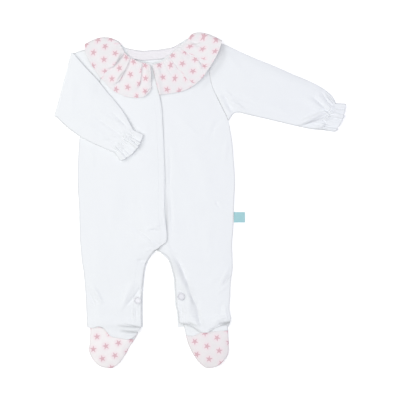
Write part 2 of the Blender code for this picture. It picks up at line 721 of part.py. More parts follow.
def make_snap(name, place, bed):
    """A ring snap on a front: a turned profile."""
    x, y = place
    turns = [2 * math.pi * share for share in even(8)]
    around = [bed(x + SNAP_RADIUS * math.cos(turn), y + SNAP_RADIUS * math.sin(turn)) for turn in turns]
    base = max(bed(x, y), *around) + WALL + GAP
    profile = [
        (0, SNAP_FACE), (SNAP_RADIUS - SNAP_RING - SNAP_BEVEL, SNAP_FACE),
        (SNAP_RADIUS - SNAP_RING, SNAP_HEIGHT), (SNAP_RADIUS - SNAP_BEVEL, SNAP_HEIGHT),
        (SNAP_RADIUS, SNAP_HEIGHT - SNAP_BEVEL), (SNAP_RADIUS, 0), (0, 0),
    ]
    mesh = bpy.data.meshes.new(name)
    shape = bmesh.new()
    verts = [shape.verts.new((r * MM, 0, z * MM)) for r, z in profile]
    for a, b in zip(verts, verts[1:]):
        shape.edges.new((a, b))
    shape.to_mesh(mesh)
    shape.free()
    mesh.materials.append(snap_white)
    piece = bpy.data.objects.new(name, mesh)
    piece.location = (x * MM, y * MM, base * MM)
    suit.objects.link(piece)
    turn = piece.modifiers.new("turn", "SCREW")
    turn.steps = turn.render_steps = SNAP_STEPS
    turn.use_merge_vertices = True
    turn.merge_threshold = WELD * MM


def make_side_tab():
    """A folded ribbon loop in the left side seam, pressed flat."""
    start = at_level(LEFT_OUTLINE, TAB_Y) + GAP + LAID_ON
    bpy.ops.mesh.primitive_cube_add(size=1)
    tab = bpy.context.object
    tab.name = tab.data.name = "side_tab"
    tab.data.transform(
        Matrix.LocRotScale(
            Vector((start + TAB_LENGTH / 2, TAB_Y, TAB_WALL / 2)) * MM, None,
            Vector((TAB_LENGTH, TAB_HEIGHT, TAB_WALL)) * MM,
        )
    )
    soften = tab.modifiers.new("fold", "BEVEL")
    soften.width = TAB_BEVEL * MM
    soften.segments = 2
    tab.data.materials.append(aqua)
    for holder in list(tab.users_collection):
        holder.objects.unlink(tab)
    suit.objects.link(tab)


clear_scene()
suit = bpy.data.collections.new("Footed baby sleepsuit")
bpy.context.scene.collection.children.link(suit)
white = material("white jersey", WHITE, 0.9)
printed = material("star print cotton", PRINT, 0.85)
snap_white = material("snap", SNAP_WHITE, 0.35)
aqua = material("side tab", AQUA, 0.7)

make_back()
make_fronts()
make_left_sleeve()
make_right_sleeve()
make_collar()
make_neck_tape()
make_foot("right", RIGHT_FOOT_OUTER, RIGHT_FOOT_INNER, RIGHT_TOE, RIGHT_FOOT_SEAM, RIGHT_HEM_LINE, True)
make_foot("left", LEFT_FOOT_OUTER, LEFT_FOOT_INNER, LEFT_TOE, LEFT_FOOT_SEAM, LEFT_HEM_LINE, False)
make_snap("snap_right", RIGHT_SNAP, right_front_bed)
make_snap("snap_left", LEFT_SNAP, front_bed)
make_side_tab()
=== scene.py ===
"""A footed baby sleepsuit laid flat on its back, one sleeve folded over the front.

Lengths are in millimetres, x to the wearer's left, y towards the head and z up from the surface
that the suit lies on. Right and left are the wearer's own. Each cloth piece is a closed shell: an
even wall about a fine grid of middle points, with half-round edges. The grids follow the same short
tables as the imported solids, with the creases, gathers and ruffle folds added to their heights.
"""

import math

import bpy
import numpy as np
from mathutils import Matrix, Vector


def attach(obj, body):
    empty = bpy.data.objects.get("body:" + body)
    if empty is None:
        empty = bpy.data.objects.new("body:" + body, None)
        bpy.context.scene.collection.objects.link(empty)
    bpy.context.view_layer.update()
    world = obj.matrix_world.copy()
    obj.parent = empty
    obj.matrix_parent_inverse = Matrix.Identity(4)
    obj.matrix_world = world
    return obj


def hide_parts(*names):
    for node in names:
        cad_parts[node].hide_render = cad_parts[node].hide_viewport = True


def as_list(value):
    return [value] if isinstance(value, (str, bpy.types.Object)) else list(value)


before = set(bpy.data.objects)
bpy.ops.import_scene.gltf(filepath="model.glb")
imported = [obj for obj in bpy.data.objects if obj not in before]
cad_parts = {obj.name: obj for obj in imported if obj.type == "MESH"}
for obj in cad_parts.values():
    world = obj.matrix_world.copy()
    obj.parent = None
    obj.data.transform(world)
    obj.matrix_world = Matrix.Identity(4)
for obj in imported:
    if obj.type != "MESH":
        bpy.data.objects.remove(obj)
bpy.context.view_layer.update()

MM = 0.001

# Cloth
WALL = 1.2  # body jersey
PRINT_WALL = 1.0  # printed cotton of the collar and feet
TAPE_WALL = 0.7  # woven tape, inside its solid's wall
RUFFLE_WALL = 0.6  # the collar's fine cotton, the same
GAP = 0.3
RIM_STEPS = 3  # points between the two faces round a cloth's edge

# Soft loft of the cloth over what lies below it
TORSO_LOFT = 1.4
LEG_LOFT = 2.4
HEM_LOFT = 0.5  # more, where a leg's end pouches over its band
FOOT_LOFT = 4.2
SLEEVE_LOFT = 2.6
FOREARM_LOFT = SLEEVE_LOFT * 0.7  # of the folded sleeve
POUCH_FADE = (8, 30)  # heights over the hem between which the pouch dies out
BAND_FADE = (7, 18)  # the same for the rise over the ankle band
LEG_FADE = (35, -15)  # from the torso's loft to the legs', over and under the crotch

# Edges of the body, from the shoulder tip down to the ankle: x, y
RIGHT_SIDE = [
    (-144.5, 229), (-146, 210), (-149, 186), (-155, 165), (-164, 141), (-173, 119), (-180.5, 96),
    (-182.5, 75), (-184, 45), (-183.5, 15), (-182, -6), (-180.5, -56), (-179, -75), (-177.5, -92),
    (-174.5, -110), (-173, -129), (-171.5, -150), (-170.5, -173), (-169.5, -190),
]
LEFT_SIDE = [
    (10, 238), (11.5, 210), (14.5, 186), (19, 168), (29.5, 146), (42, 119), (47, 92), (49, 75),
    (50.5, 54), (52, 33), (51.5, 15), (50.5, -3), (50, -21), (49, -48), (47.5, -66), (48.5, -101),
    (46, -120), (45, -138), (44, -156), (44, -165), (46, -177), (43.5, -187),
]
CROTCH = (-66, -75)
RIGHT_INSEAM = [
    CROTCH, (-74, -83.5), (-78.5, -92.5), (-81.5, -101.5), (-83, -110.5), (-84.5, -124),
    (-86, -146.5), (-86, -190),
]
LEFT_INSEAM = [
    CROTCH, (-51.5, -83.5), (-47, -92.5), (-44, -101.5), (-41.5, -110.5), (-39.5, -124),
    (-38, -155), (-35, -169), (-34, -184),
]
UNDERARM_Y = 119
FRONT_INSEAM_SETBACK = 2  # the back shows this far beyond the front along each inseam

# Free edges of the two fronts from the neck to the crotch: the right front lies over the left
RIGHT_FRONT_EDGE = [
    (-66, 204.5), (-65, 177.5), (-60.5, 153.5), (-57.5, 135.5), (-54.5, 75.5), (-53, 30.5),
    (-53.5, 0), (-53, -22), (-50, -58), (-58, -68), (-68, -76.5),
]
LEFT_FRONT_EDGE = [
    (-82, 206), (-81, 177), (-77, 153), (-74, 135), (-71, 75), (-70, 30), (-70, -22), (-69, -55),
    (-62, -75),
]
OVERLAP_RAMP = 38  # width over which the right front rises over the left one
OVERLAP_CLEAR = 5  # how far outside the left front's edge it has risen
OVERLAP_FOOT = (-14, -4)  # levels from the crotch between which it comes down
LAID_ON = 0.25  # more gap where a piece lies loose on another
# Air under the right front above the crotch: near its free edge and further in, the distances from
# that edge between which it dies out, and the levels between which it starts and ends
STAND = (1.6, 2.4)
STAND_STEP = (0, 16)
STAND_ACROSS = (64, 14)
STAND_START = (-6, -34)
STAND_END = (-74, -60)
LEAST_STAND = 0.1  # of a front over the back, in its deepest creases
COLLAR_DROP = (1, 9)  # distances past the right front's edge between which the collar comes down
BESIDE_LEFT = (2, 12)  # x between which the collar passes from the front to the sleeve's root
BESIDE_RIGHT = (-136, -146)  # the same on the other side
BESIDE_FOREARM = (-150, -168)  # x between which the folded sleeve passes to its upper arm

# Neck edges from right to left, with the shoulder line at each end
BACK_TOP = [
    (-144.5, 229), (-118, 233.5), (-114, 229.5), (-108, 227.5), (-98, 225.5), (-86, 224),
    (-66, 225.5), (-60, 226), (-45, 228.5), (-38, 231), (-30, 236), (-22, 241), (-14, 244.5),
    (10, 238),
]
BACK_TOP_CENTRE = 6  # row of the point on the body's centre line
RIGHT_FRONT_TOP = [
    (-144.5, 229), (-119, 233.5), (-114.5, 222.5), (-105.5, 215), (-95, 209), (-87.5, 206.5),
    (-75.5, 205.5), (-66, 204.5),
]
LEFT_FRONT_TOP = [
    (-82, 206), (-70, 205.5), (-60.5, 208), (-52, 214), (-44, 220.5), (-36, 227.5),
    (-28, 234.5), (-13, 244.5), (10, 238),
]

# Hems of the two legs, from right to left: x, y
RIGHT_HEM = [
    (-169.5, -190), (-162, -191.5), (-154, -189.5), (-147, -190.5), (-141.5, -195), (-136, -202.5),
    (-128, -205.5), (-118, -207), (-109, -208.5), (-102, -206.5), (-96, -201.5), (-88, -190),
]
LEFT_HEM = [
    (-32, -184), (-26, -185.5), (-18, -187.5), (-10, -191), (-3, -196), (5, -198.5), (12, -197.5),
    (21, -192), (32, -187.5), (43.5, -187),
]

# Sleeves: edges from the armhole to the wrist
LEFT_SLEEVE_UPPER = [
    (10, 238), (32.5, 234.5), (53.5, 225.5), (80.5, 213.5), (110.5, 201.5), (137.5, 189.5),
    (166, 177.5), (187, 165.5), (198.5, 155), (203, 145.5),
]
LEFT_SLEEVE_LOWER = [
    (42, 119), (49, 129.5), (58, 132), (68, 129.5), (98.5, 122.5), (124, 116.5), (149.5, 110.5),
    (168, 107), (182, 106),
]
RIGHT_UPPER_ARM_UPPER = [(-144.5, 229), (-171, 226), (-190, 220.5)]
RIGHT_UPPER_ARM_LOWER = [(-173, 119), (-195, 119.5), (-215.5, 125)]
RIGHT_FOREARM_UPPER = [
    (-190, 220.5), (-172, 199.5), (-155.5, 182.5), (-140, 163), (-123.5, 143.5), (-112, 127),
    (-100, 105),
]
RIGHT_FOREARM_LOWER = [
    (-215.5, 125), (-198.5, 109), (-180.5, 96), (-160, 85.5), (-143, 78), (-128.5, 71.5),
]
FOLD_OUTWARD = (-0.966, 0.257)  # where the right sleeve's fold faces
FOLD_STEPS = 15
SLEEVE_EDGE_GAP = 0.5  # between the two layers along a sleeve's edges
CLOSEST_LAYERS = -0.3  # the least that creases may add to that gap
SLEEVE_ALLOWANCE = 1.2  # room for a sleeve's second layer beside the body
FOREARM_PUFFS = [(-108, 112, 700, 2.4), (-98, 76, 500, 1.5)]  # on the front: x, y, spread, height

# Cuff frills: the far edge, from the sleeve's upper edge to its lower edge
LEFT_CUFF_END = [(219.4, 144.5), (217, 132), (213, 118), (203, 102.5)]
RIGHT_CUFF_END = [(-84.5, 98), (-91, 83), (-103, 68), (-119, 59)]
CUFF_WAVES = 6
CUFF_WAVE_HEIGHT = 2.8
CUFF_SCALLOP = 1.2  # how much further a gather's crest reaches
WRIST_WAVES = 15  # small puckers at the elastic
WRIST_WAVE_HEIGHT = 2.6
ELASTIC_REACH = 6  # how far the puckers run
LEFT_PHASE, RIGHT_PHASE = 0.6, 2.1  # of the two cuffs' gathers

# Ruffle collar, a row for each rib from neck seam to free edge, and how high its edge stands:
# neck x, y, middle x, y, edge x, y, stand
LEFT_RIBS = [
    (-72, 203.5, -68, 183.5, -61.5, 158, 1.0),
    (-60.5, 205.5, -51.5, 183.5, -41, 160.5, 0.8),
    (-52, 211.5, -36.5, 188, -20, 166, 1.2),
    (-44, 218.5, -21.5, 195.5, -0.5, 179.5, 3.0),
    (-36, 226, -9.5, 209, 14.5, 199, 5.0),
    (-28, 232.5, 1, 225.5, 26.5, 220, 7.4),
    (-19, 240, 7, 238, 32, 234.5, 6.0),
]
LEFT_FOLD_RIB = (-14.5, 247.5, 4.3, 250.8, 33, 238.8, 3.0)
RIGHT_FOLD_RIB = (-122, 237.5, -146, 244, -173, 233.5, 3.0)
RIGHT_RIBS = [
    (-121, 235, -146, 233, -172.5, 224, 2.6),
    (-118, 230, -141.5, 220, -165.5, 207.5, 1.6),
    (-115, 224.5, -131, 205.5, -151, 185.5, 0.8),
    (-110.5, 218.5, -125.5, 196, -141.5, 175.5, 0.8),
    (-105.5, 214, -116.5, 189, -130.5, 164, 0.6),
    (-96.5, 209.5, -103, 183.5, -109, 155, 1.0),
    (-88, 206.5, -89.5, 182, -92, 153.5, 0.8),
    (-81.5, 205, -80.5, 182, -82, 156.5, 2.0),
    (-74.5, 203, -73.5, 183, -73, 166, 1.0),
]
# Folds of the ruffle in the ribs' order, each leaning to the next rib: place along the ribs, height,
# lean, share of the ruffle's depth where it has died out, cloth that it tucks away, and how far
# across the panel before it the print lies straight
RIGHT_FOLDS = [
    (2.25, 3.6, 2.6, 0.84, 14.6, 0.5), (4.0, 3.2, 2.2, 0.98, 0, 0.5), (6.0, 2.8, 1.8, 0.9, 4.3, 0.5),
]
LEFT_FOLDS = [(2.6, 1.2, 0.9, 0.55, 7.3, 0.2), (4.4, 1.2, 0.9, 0.45, 7, 0.5)]
# Where the ruffle rolls up between its folds: place along the ribs, half width, height
RIGHT_ROLL = (7.85, 0.6, 7.0)
LEFT_ROLL = (5.3, 0.5, 0.8)
# Smaller creases of the ruffle
COLLAR_CREASES = [
    (-7.5, 213, 4.5, 194, 3.2, 1.8), (-3, 210, 9.5, 194, 1.5, -2.2), (-15, 231, -4, 230, 3, 1.6),
    (-11, 237.5, -1.5, 236, 3.4, -1.7), (-150, 214, -136, 222, 6, 0.8), (-24, 190, -14, 176, 6, 0.7),
    (-85.5, 158.5, -74, 168, 1.8, 1.8), (-33, 217, -24, 205, 3.5, 0.9), (-24, 225, -12, 215, 3, -0.9),
    (-50, 202, -43, 190, 3, -0.7), (-62, 200, -58, 184, 4, 0.6),
]
LEFT_PRINT, RIGHT_PRINT = (14.4, -2.5), (22.6, -3.5)  # where the print starts on the strip's two ends
RUFFLE_CENTRE = (-70, 232)
RUFFLE_HALF_WIDTH = 101
RUFFLE_DEPTH = 58
RUFFLE_TILT = math.radians(3.3)
RUFFLE_FADE = (1.04, 1.35)  # shares of its reach between which it stops raising what lies on it
RUFFLE_SHOULDER = 8  # degrees round the ellipse where the back of the collar starts
BACK_WAVES = 7
BACK_WAVE = 0.8
BED_OVER_RUFFLE = PRINT_WALL + BACK_WAVE + GAP

# Feet, from the ankle to the toe: x, y
RIGHT_FOOT_OUTER = [(-164.5, -176), (-165, -200), (-166, -217), (-167.5, -224), (-162.5, -236.5)]
RIGHT_FOOT_INNER = [
    (-91, -176), (-92.5, -196), (-97, -207), (-105.5, -219), (-114.5, -235), (-122, -245),
]
RIGHT_TOE = [(-162.5, -236.5), (-153.5, -247), (-143, -251), (-132, -251.5), (-122, -245)]
LEFT_FOOT_OUTER = [(40, -176), (42, -202), (42.5, -227.5), (38.5, -237)]
LEFT_FOOT_INNER = [(-27, -176), (-24.5, -188.5), (-20, -209.5), (-12.5, -227.5), (-3.5, -241)]
LEFT_TOE = [(-3.5, -241), (6, -250), (13, -251.8), (26.5, -248.5), (38.5, -237)]
RIGHT_FOOT_SEAM = [
    (-164.7, -188.5), (-150.5, -190), (-140, -196), (-132.5, -203), (-122, -204.5),
    (-113, -206.5), (-98.5, -209),
]
LEFT_FOOT_SEAM = [(-21.5, -203), (-11, -203.5), (-2, -200), (4, -197), (19, -197), (41.7, -195.5)]
ANKLE_Y = -190
BAND_TUCK = 5
STARS_FROM = {"right": (-141.4, -218.6, -14), "left": (10.1, -218.6, 20.5)}  # a star, and the rows' tilt

# Trims
SNAP_RADIUS = 5.6
SNAP_HEIGHT = 1.5
SNAP_PROFILE = [  # from the middle to the rim: shares of the radius and of the height
    (0, 0.30), (0.45, 0.30), (0.62, 0.28), (0.68, 0.40), (0.76, 0.85), (0.83, 1.0), (0.91, 0.97),
    (0.97, 0.80), (1.0, 0.5), (1.0, 0.1), (0.98, 0), (0, 0),
]
SNAP_STEPS = 64  # points round it
RIGHT_SNAP = (-94, -150)
LEFT_SNAP = (-28.5, -144)
TAPE_WIDTH = 14
TAPE_INSET = 0.5
TAPE_ENDS = (-108, -30)
TAB_LENGTH = 16.5
TAB_HEIGHT = 15.5
TAB_Y = -25.5
TAB_WALL = 1.2
TAB_LAYER = TAB_WALL * 0.42  # each of the loop's two layers

# Creases of the fronts and sleeves: start x, y, end x, y, half width, height (below 0 is a trough)
FRONT_CREASES = [
    # right leg, outside, inside and along its facing
    (-171, -135, -156, -157, 3, -2.8), (-166, -129, -149, -152, 5, 2.6),
    (-90, -130, -108, -156, 3.6, -2.4), (-99, -128, -120, -160, 7, 2.0), (-86, -140, -96, -158, 4, 1.0),
    (-94, -90, -77, -88.5, 2.5, -2.0), (-104, -158, -103, -186, 1.6, -0.9),
    (-97, -160, -96.5, -186, 1.4, -0.8), (-100.5, -158, -100, -186, 2, 0.7), (-90.5, -104, -91, -184, 2, 0.5),
    (-114, -186.5, -86, -191.5, 1.8, -3.2), (-119, -196, -90, -197.5, 1.8, -3.0),
    (-112, -191.5, -88, -194.5, 2.2, 1.8), (-112, -182.5, -88, -187, 3, 1.2),
    (-115, -201, -94, -202.5, 2.2, 1.4), (-150, -189, -116, -190, 4, -1.2),
    (-150, -160, -146, -186, 7, 0.8), (-124, -150, -120, -190, 9, 0.6),
    # left leg: a dip beside the inner facing, and the outer edge
    (-62, -68, -44, -96, 8, 2.2), (-46, -90, -27, -128, 9, 3.0), (-28, -124, -17, -157, 9, 3.0),
    (-18, -154, -6, -185, 8, 2.2), (-40, -84, -17, -128.5, 5, -2.4), (-18, -125, -6.5, -157, 5, -2.4),
    (-7, -154, 3, -185, 5, -2.0),
    (51, -107, 33, -128, 2.0, -3.4), (42, -122, 28, -139, 4, 1.0), (46, -101, 30, -120, 4, 1.4),
    (30, -100, 18, -126, 8, 0.6), (39, -158, 39.5, -181, 2.6, 1.6), (31, -156, 32, -178, 3, -0.9),
    (14, -194, 31, -186, 2.4, -2.0), (30, -187, 47, -182, 2.6, -3.4), (22, -181, 42, -175, 3.4, 2.2),
    (-36, -156, -34.5, -182, 1.2, -0.9), (-28, -158, -26.5, -184, 1.3, -1.0),
    (-24.5, -158, -22.5, -184, 2.5, 0.8), (-31.5, -154, -31, -184, 1.6, 0.6),
    (-20, -184, -4, -190, 2.4, -1.8), (-18, -179, 2, -187, 3, 1.4),
    # lower placket and crotch, with a snap's round mark through the cloth
    (-97, -43, -72, -63, 3, -1.8), (-90, -50, -68, -68, 3, 1.4), (-76, -46, -58, -44, 2.5, -1.5),
    (-80, -41, -60, -38, 4, 1.1), (-80, -73.4, -75.6, -74.6, 3.2, 1.0), (-72, -62, -56, -70, 2.2, -1.0),
    (-116, -36, -100, -52, 6, 0.8), (-52, -66, -44, -78, 3, 1.0),
    # along the placket's facing
    (-46.5, 78, -46.5, 12, 3.2, -1.0), (-46.5, 14, -43, -52, 3.2, -1.1),
    # chest and belly
    (24, -5, 29, -8.5, 2.6, -1.4), (-120, 40, -128, -40, 16, 0.6), (-10, 90, 4, 10, 18, 0.7),
    (20, -30, 12, -90, 12, 0.7), (-150, -30, -146, -110, 14, 0.7), (-96, 30, -92, -20, 10, -0.5),
    (44, 96, 38, 60, 5, 1.0), (32, 122, 16, 96, 5, -1.0), (-172, 84, -160, 52, 7, 0.8),
    (-130, 60, -104, 30, 12, 0.5), (-30, 130, -10, 100, 9, 0.6), (-40, -10, -20, -60, 12, -0.4),
]
SLEEVE_CREASES = [
    # into the wrist, from its lower edge to its upper one
    (146, 110.5, 190, 123.5, 2.6, -4.2), (146, 117, 186, 130, 5, 3.4), (158, 106.5, 190, 114.5, 4, 2.6),
    (178, 137, 195, 132, 2.2, -2.4), (168, 153, 191, 136, 3.6, -1.6), (160, 151, 186, 131, 5, 1.4),
    (175, 157, 195, 139, 4, 1.2), (189, 161, 201, 145, 1.8, -3.0), (195, 158, 205, 146, 1.6, -2.4),
    (182, 162, 197, 142, 2, -1.3), (184, 122, 191, 112, 1.8, -2.2),
    # out of the underarm
    (41, 151, 70, 130, 4, 2.0), (37, 143, 64, 125, 3, -2.2), (46, 162, 84, 141, 6, -1.0),
    (28, 155, 43, 129, 3.5, 1.8), (35.5, 155, 49, 132, 2.6, -1.6), (47, 137, 58, 130, 2.2, 1.4),
    (34, 158, 45, 146, 2, -1.4), (35, 165, 49, 153, 2, 1.0), (56, 138, 84, 128, 4, 1.0),
    # along the arm
    (60, 205, 120, 180, 16, 0.8), (90, 160, 150, 142, 14, -0.8), (110, 190, 160, 165, 12, 0.7),
    (30, 222, 64, 196, 8, 0.6), (96, 150, 128, 128, 8, 0.6),
]
FOREARM_CREASES = [
    (-158, 124, -120, 102, 4, -1.4), (-150, 133, -116, 112, 5, 1.2), (-178, 112, -138, 91, 8, 0.8),
    (-196, 190, -188, 130, 9, 0.6), (-172, 170, -150, 120, 16, 0.8), (-142, 91, -124, 84, 3, -1.3),
    (-130, 132, -109, 107, 3, -1.2), (-136, 100, -122, 94, 3, 1.0),
]
FOOT_CREASES = [
    (-116, -197.5, -92, -197, 2.2, -1.5), (-112, -202, -96, -203, 2.5, 0.7),
    (-150, -215, -138, -240, 7, 0.5), (8, -206, 14, -240, 8, 0.5), (-20, -196, -6, -201, 2, -0.8),
    (22, -190, 36, -193, 2, -0.7),
]
BACK_CREASES = [
    (-160, 110, -120, 70, 9, 0.5), (28, 110, -10, 70, 9, 0.5), (-120, -40, -74, -72, 7, 0.6),
    (-14, -40, -58, -72, 7, 0.6), (-66, 60, -66, -40, 12, 0.35), (-150, -100, -110, -150, 10, 0.4),
    (20, -100, -14, -150, 10, 0.4),
]

# Painted shade and painted shadow that darken the colour in deep folds and beside raised edges: start x, y,
# end x, y, half width, and the light lost, below 0
RIGHT_LEG_PAINTED_SHADE = [
    (-124, -186.5, -84, -191.5, 2.2, -0.26), (-120, -196.5, -86, -197.8, 2.2, -0.26),
    (-136, -190, -96, -194, 6, -0.05),
]
LEFT_LEG_PAINTED_SHADE = [
    (34, -127, 53, -107, 1.7, -0.16), (31, -187, 49, -179, 3.4, -0.45), (12, -195, 44, -186, 2.2, -0.12),
    (-36, -183, -12, -187, 2.4, -0.3), (-20, -186, 2, -196, 2.4, -0.2), (-44, -82, -15, -130, 7, -0.08),
    (-18, -122, 6, -190, 7, -0.07),
]
WRIST_PAINTED_SHADE = [
    (142, 109, 194, 124, 2.4, -0.12), (190, 161, 203, 144, 2, -0.16), (166, 105.5, 190, 104, 2.4, -0.2),
]
CROTCH_PAINTED_SHADE = [(-70, -78.5, -58, -69, 2.4, -0.4)]
# painted shadow of the right front's edge, on the left front
PLACKET_PAINTED_SHADOW = [  # on the left front, under the right one's edge
    (-65.5, 178, -56.5, 130, 2.0, -0.24), (-58, 140, -53.2, 66, 2.0, -0.15),
    (-53.6, 74, -52.4, 4, 1.6, -0.12), (-52.6, 12, -49.5, -60, 2.6, -0.18),
]
# painted shadow in the gap below the collar's two ends
NECK_PAINTED_SHADOW = [(-71, 200, -66.5, 182, 2.8, -0.2)]  # below the collar's two ends
COLLAR_PAINTED_SHADE = [(-117, 219, -127, 206, 2.4, -0.3), (-113, 194, -124, 178, 2.0, -0.26)]
# painted shadow of the collar's high edge, on the sleeve and front
SHOULDER_PAINTED_SHADOW = [  # on the sleeve and front, beside the collar's high edge
    (34, 238, 33, 214, 6, -0.07), (35, 222, 18, 190, 7, -0.09), (22, 198, 2, 170, 6, -0.05),
]
# Painted shade along outlines: a darker strip of colour where the cloth turns under
RIM_PAINTED_SHADE_WIDTH = 1.9  # of the darker strip along an outline
RIM_PAINTED_SHADE = 0.82  # share of light kept at its edge
WELD_DIGITS = 4  # decimals of a millimetre at which two halves' points are one


# ---------------------------------------------------------------- curves and grids

def spline(rows, places):
    """Rows of a table at fractional places, on a Catmull-Rom curve."""
    rows = np.asarray(rows, float)
    padded = np.vstack([rows[:1], rows, rows[-1:]])
    places = np.clip(np.asarray(places, float), 0, len(rows) - 1)
    start = np.minimum(places.astype(int), len(rows) - 2)
    t = (places - start)[:, None]
    return (
        (-t + 2 * t**2 - t**3) * padded[start] + (2 - 5 * t**2 + 3 * t**3) * padded[start + 1]
        + (t + 4 * t**2 - 3 * t**3) * padded[start + 2] + (t**3 - t**2) * padded[start + 3]
    ) / 2


def smooth(rows, steps=4):
    """A finer table through the rows of a short one."""
    return spline(rows, np.arange((len(rows) - 1) * steps + 1) / steps)


def even(count):
    return np.linspace(0, 1, count + 1)


def mix(a, b, share):
    return a + (b - a) * share


def ease(start, end, value):
    share = np.clip((value - start) / (end - start), 0, 1)
    return share * share * (3 - 2 * share)


def crown(share, power=4):
    """1 over the middle of a piece, falling to 0 at its two edges."""
    return 1 - np.abs(2 * np.clip(share, 0, 1) - 1) ** power


def length_along(line):
    return np.concatenate([[0], np.cumsum(np.linalg.norm(np.diff(line, axis=0), axis=1))])


def along(line, shares):
    """Points at these shares of a line's length."""
    line = np.asarray(line, float)
    run = length_along(line)
    at = np.asarray(shares) * run[-1]
    return np.stack([np.interp(at, run, axis) for axis in line.T], -1)


def x_at(outline, y):
    """x at level y of an outline that runs downwards."""
    return np.interp(-np.asarray(y), -outline[:, 1], outline[:, 0])


def y_at(line, x):
    return np.interp(x, line[:, 0], line[:, 1])


def share_between(right, left, x, y):
    """0 on the right outline and 1 on the left one."""
    near = x_at(right, y)
    return (x - near) / (x_at(left, y) - near)


def trimmed(outline, y):
    """An outline that ends at level y."""
    return np.vstack([outline[outline[:, 1] > y], [[x_at(outline, y), y]]])


def at_levels(outline, shares):
    """Points of a side edge at these shares of its height."""
    y = mix(outline[0, 1], outline[-1, 1], np.asarray(shares))
    return np.stack([x_at(outline, y), y], -1)


def patch(top, bottom, left, right, rows, columns, on_side=along):
    """A grid of plan points between four edges, a Coons patch."""
    down, across = rows[:, None, None], columns[None, :, None]
    t, b = along(top, columns)[None], along(bottom, columns)[None]
    sides = mix(on_side(left, rows)[:, None], on_side(right, rows)[:, None], across)
    corners = mix(mix(t[:, :1], t[:, -1:], across), mix(b[:, :1], b[:, -1:], across), down)
    return mix(t, b, down) + sides - corners


def rotated(x, y, angle):
    """A plan point turned about the origin."""
    return x * math.cos(angle) - y * math.sin(angle), x * math.sin(angle) + y * math.cos(angle)


def inset_rows(grid, distance):
    """The same grid with both ends of each row drawn in by a distance."""
    drawn = np.empty_like(grid)
    for row, out in zip(grid, drawn):
        run = length_along(row)
        at = np.linspace(distance, run[-1] - distance, len(row))
        out[:] = np.stack([np.interp(at, run, axis) for axis in row.T], -1)
    return drawn


RIGHT_OUTLINE, LEFT_OUTLINE = smooth(RIGHT_SIDE), smooth(LEFT_SIDE)
RIGHT_INNER, LEFT_INNER = smooth(RIGHT_INSEAM), smooth(LEFT_INSEAM)
RIGHT_FREE_EDGE, LEFT_FREE_EDGE = smooth(RIGHT_FRONT_EDGE), smooth(LEFT_FRONT_EDGE)
RIGHT_HEM_LINE, LEFT_HEM_LINE = smooth(RIGHT_HEM), smooth(LEFT_HEM)


# ---------------------------------------------------------------- heights

def lift(x, y):
    """How far the back of the collar raises what lies on it."""
    across, down = rotated(x - RUFFLE_CENTRE[0], y - RUFFLE_CENTRE[1], -RUFFLE_TILT)
    reach = np.hypot(across / RUFFLE_HALF_WIDTH, down / RUFFLE_DEPTH)
    return BED_OVER_RUFFLE * (1 - ease(*RUFFLE_FADE, reach))


def creased(table, x, y):
    """Height of a table's creases at each point; from a table of painted shade, the share of light lost."""
    height = np.zeros(np.shape(x))
    for x0, y0, x1, y1, half_width, ridge in table:
        length = math.dist((x0, y0), (x1, y1))
        ux, uy = (x1 - x0) / length, (y1 - y0) / length
        run = (x - x0) * ux + (y - y0) * uy
        off = (x - x0) * uy - (y - y0) * ux
        # A slight bend and a thinner end keep a crease from looking ruled
        bend = half_width * 0.5 * np.sin(run / length * 2.4 + x0)
        width = half_width * (1.15 - 0.45 * np.clip(run / length, 0, 1))
        taper = crown((run + half_width) / (length + 2 * half_width), 2)
        height += ridge * taper * np.exp(-(((off - bend) / width) ** 2) * 2)
    return height


# Waves of cloth that isn't pressed: turn per millimetre across and down, height, phase
SOFT_WAVES = (
    (0.09, 0.026, 0.10, 0.3), (0.042, -0.068, 0.10, 1.9), (0.166, 0.062, 0.06, 4.2),
    (-0.104, 0.132, 0.05, 2.7), (0.262, -0.094, 0.035, 0.9), (0.23, 0.226, 0.03, 5.1),
    (0.38, 0.1, 0.02, 3.3), (-0.18, 0.34, 0.02, 1.2),
)


def softness(x, y, seed=0.0):
    """The slight unevenness of cloth."""
    return sum(
        size * np.sin(x * across + y * down + phase + seed) for across, down, size, phase in SOFT_WAVES
    )


def hem_gathers(x, over_hem):
    """Small gathers that rise from a leg's elastic."""
    pitch = np.sin(x * 0.62 + 1.3 * np.sin(x * 0.17)) + 0.5 * np.sin(x * 1.07 + 0.8)
    return 0.1 * pitch * np.exp(-np.clip(over_hem, 0, None) / 6)


def across_body(x, y):
    """Share of the way from the body's right side to its left one."""
    return share_between(RIGHT_OUTLINE, LEFT_OUTLINE, x, y)


def loft(x, y):
    """How far the fronts stand off the back at a point."""
    on_right = x < CROTCH[0]
    inner = np.where(on_right, x_at(RIGHT_INNER, y), x_at(LEFT_INNER, y))
    outer = np.where(on_right, x_at(RIGHT_OUTLINE, y), x_at(LEFT_OUTLINE, y))
    share = (x - outer) / np.where(inner == outer, 1, inner - outer)
    hem = np.where(on_right, y_at(RIGHT_HEM_LINE, x), y_at(LEFT_HEM_LINE, x))
    pouch = HEM_LOFT * crown(share, 8) * (1 - ease(*POUCH_FADE, y - hem))
    over_band = (WALL + GAP) * (1 - ease(*BAND_FADE, y - np.maximum(hem, ANKLE_Y)))
    gathers = hem_gathers(x, y - hem) * crown(share, 6)
    leg = LEG_LOFT * crown(share) + pouch + over_band + gathers
    below = ease(CROTCH[1] + LEG_FADE[0], CROTCH[1] + LEG_FADE[1], y)
    return TORSO_LOFT * crown(across_body(x, y)) * (1 - below) + leg * below


def front_bed(x, y):
    """Underside of the left front, and of the right front clear of the overlap."""
    uneven = (creased(FRONT_CREASES, x, y) + softness(x, y)) * crown(across_body(x, y), 12)
    stand = loft(x, y)
    return lift(x, y) + WALL + GAP + stand + np.maximum(uneven, LEAST_STAND - stand)


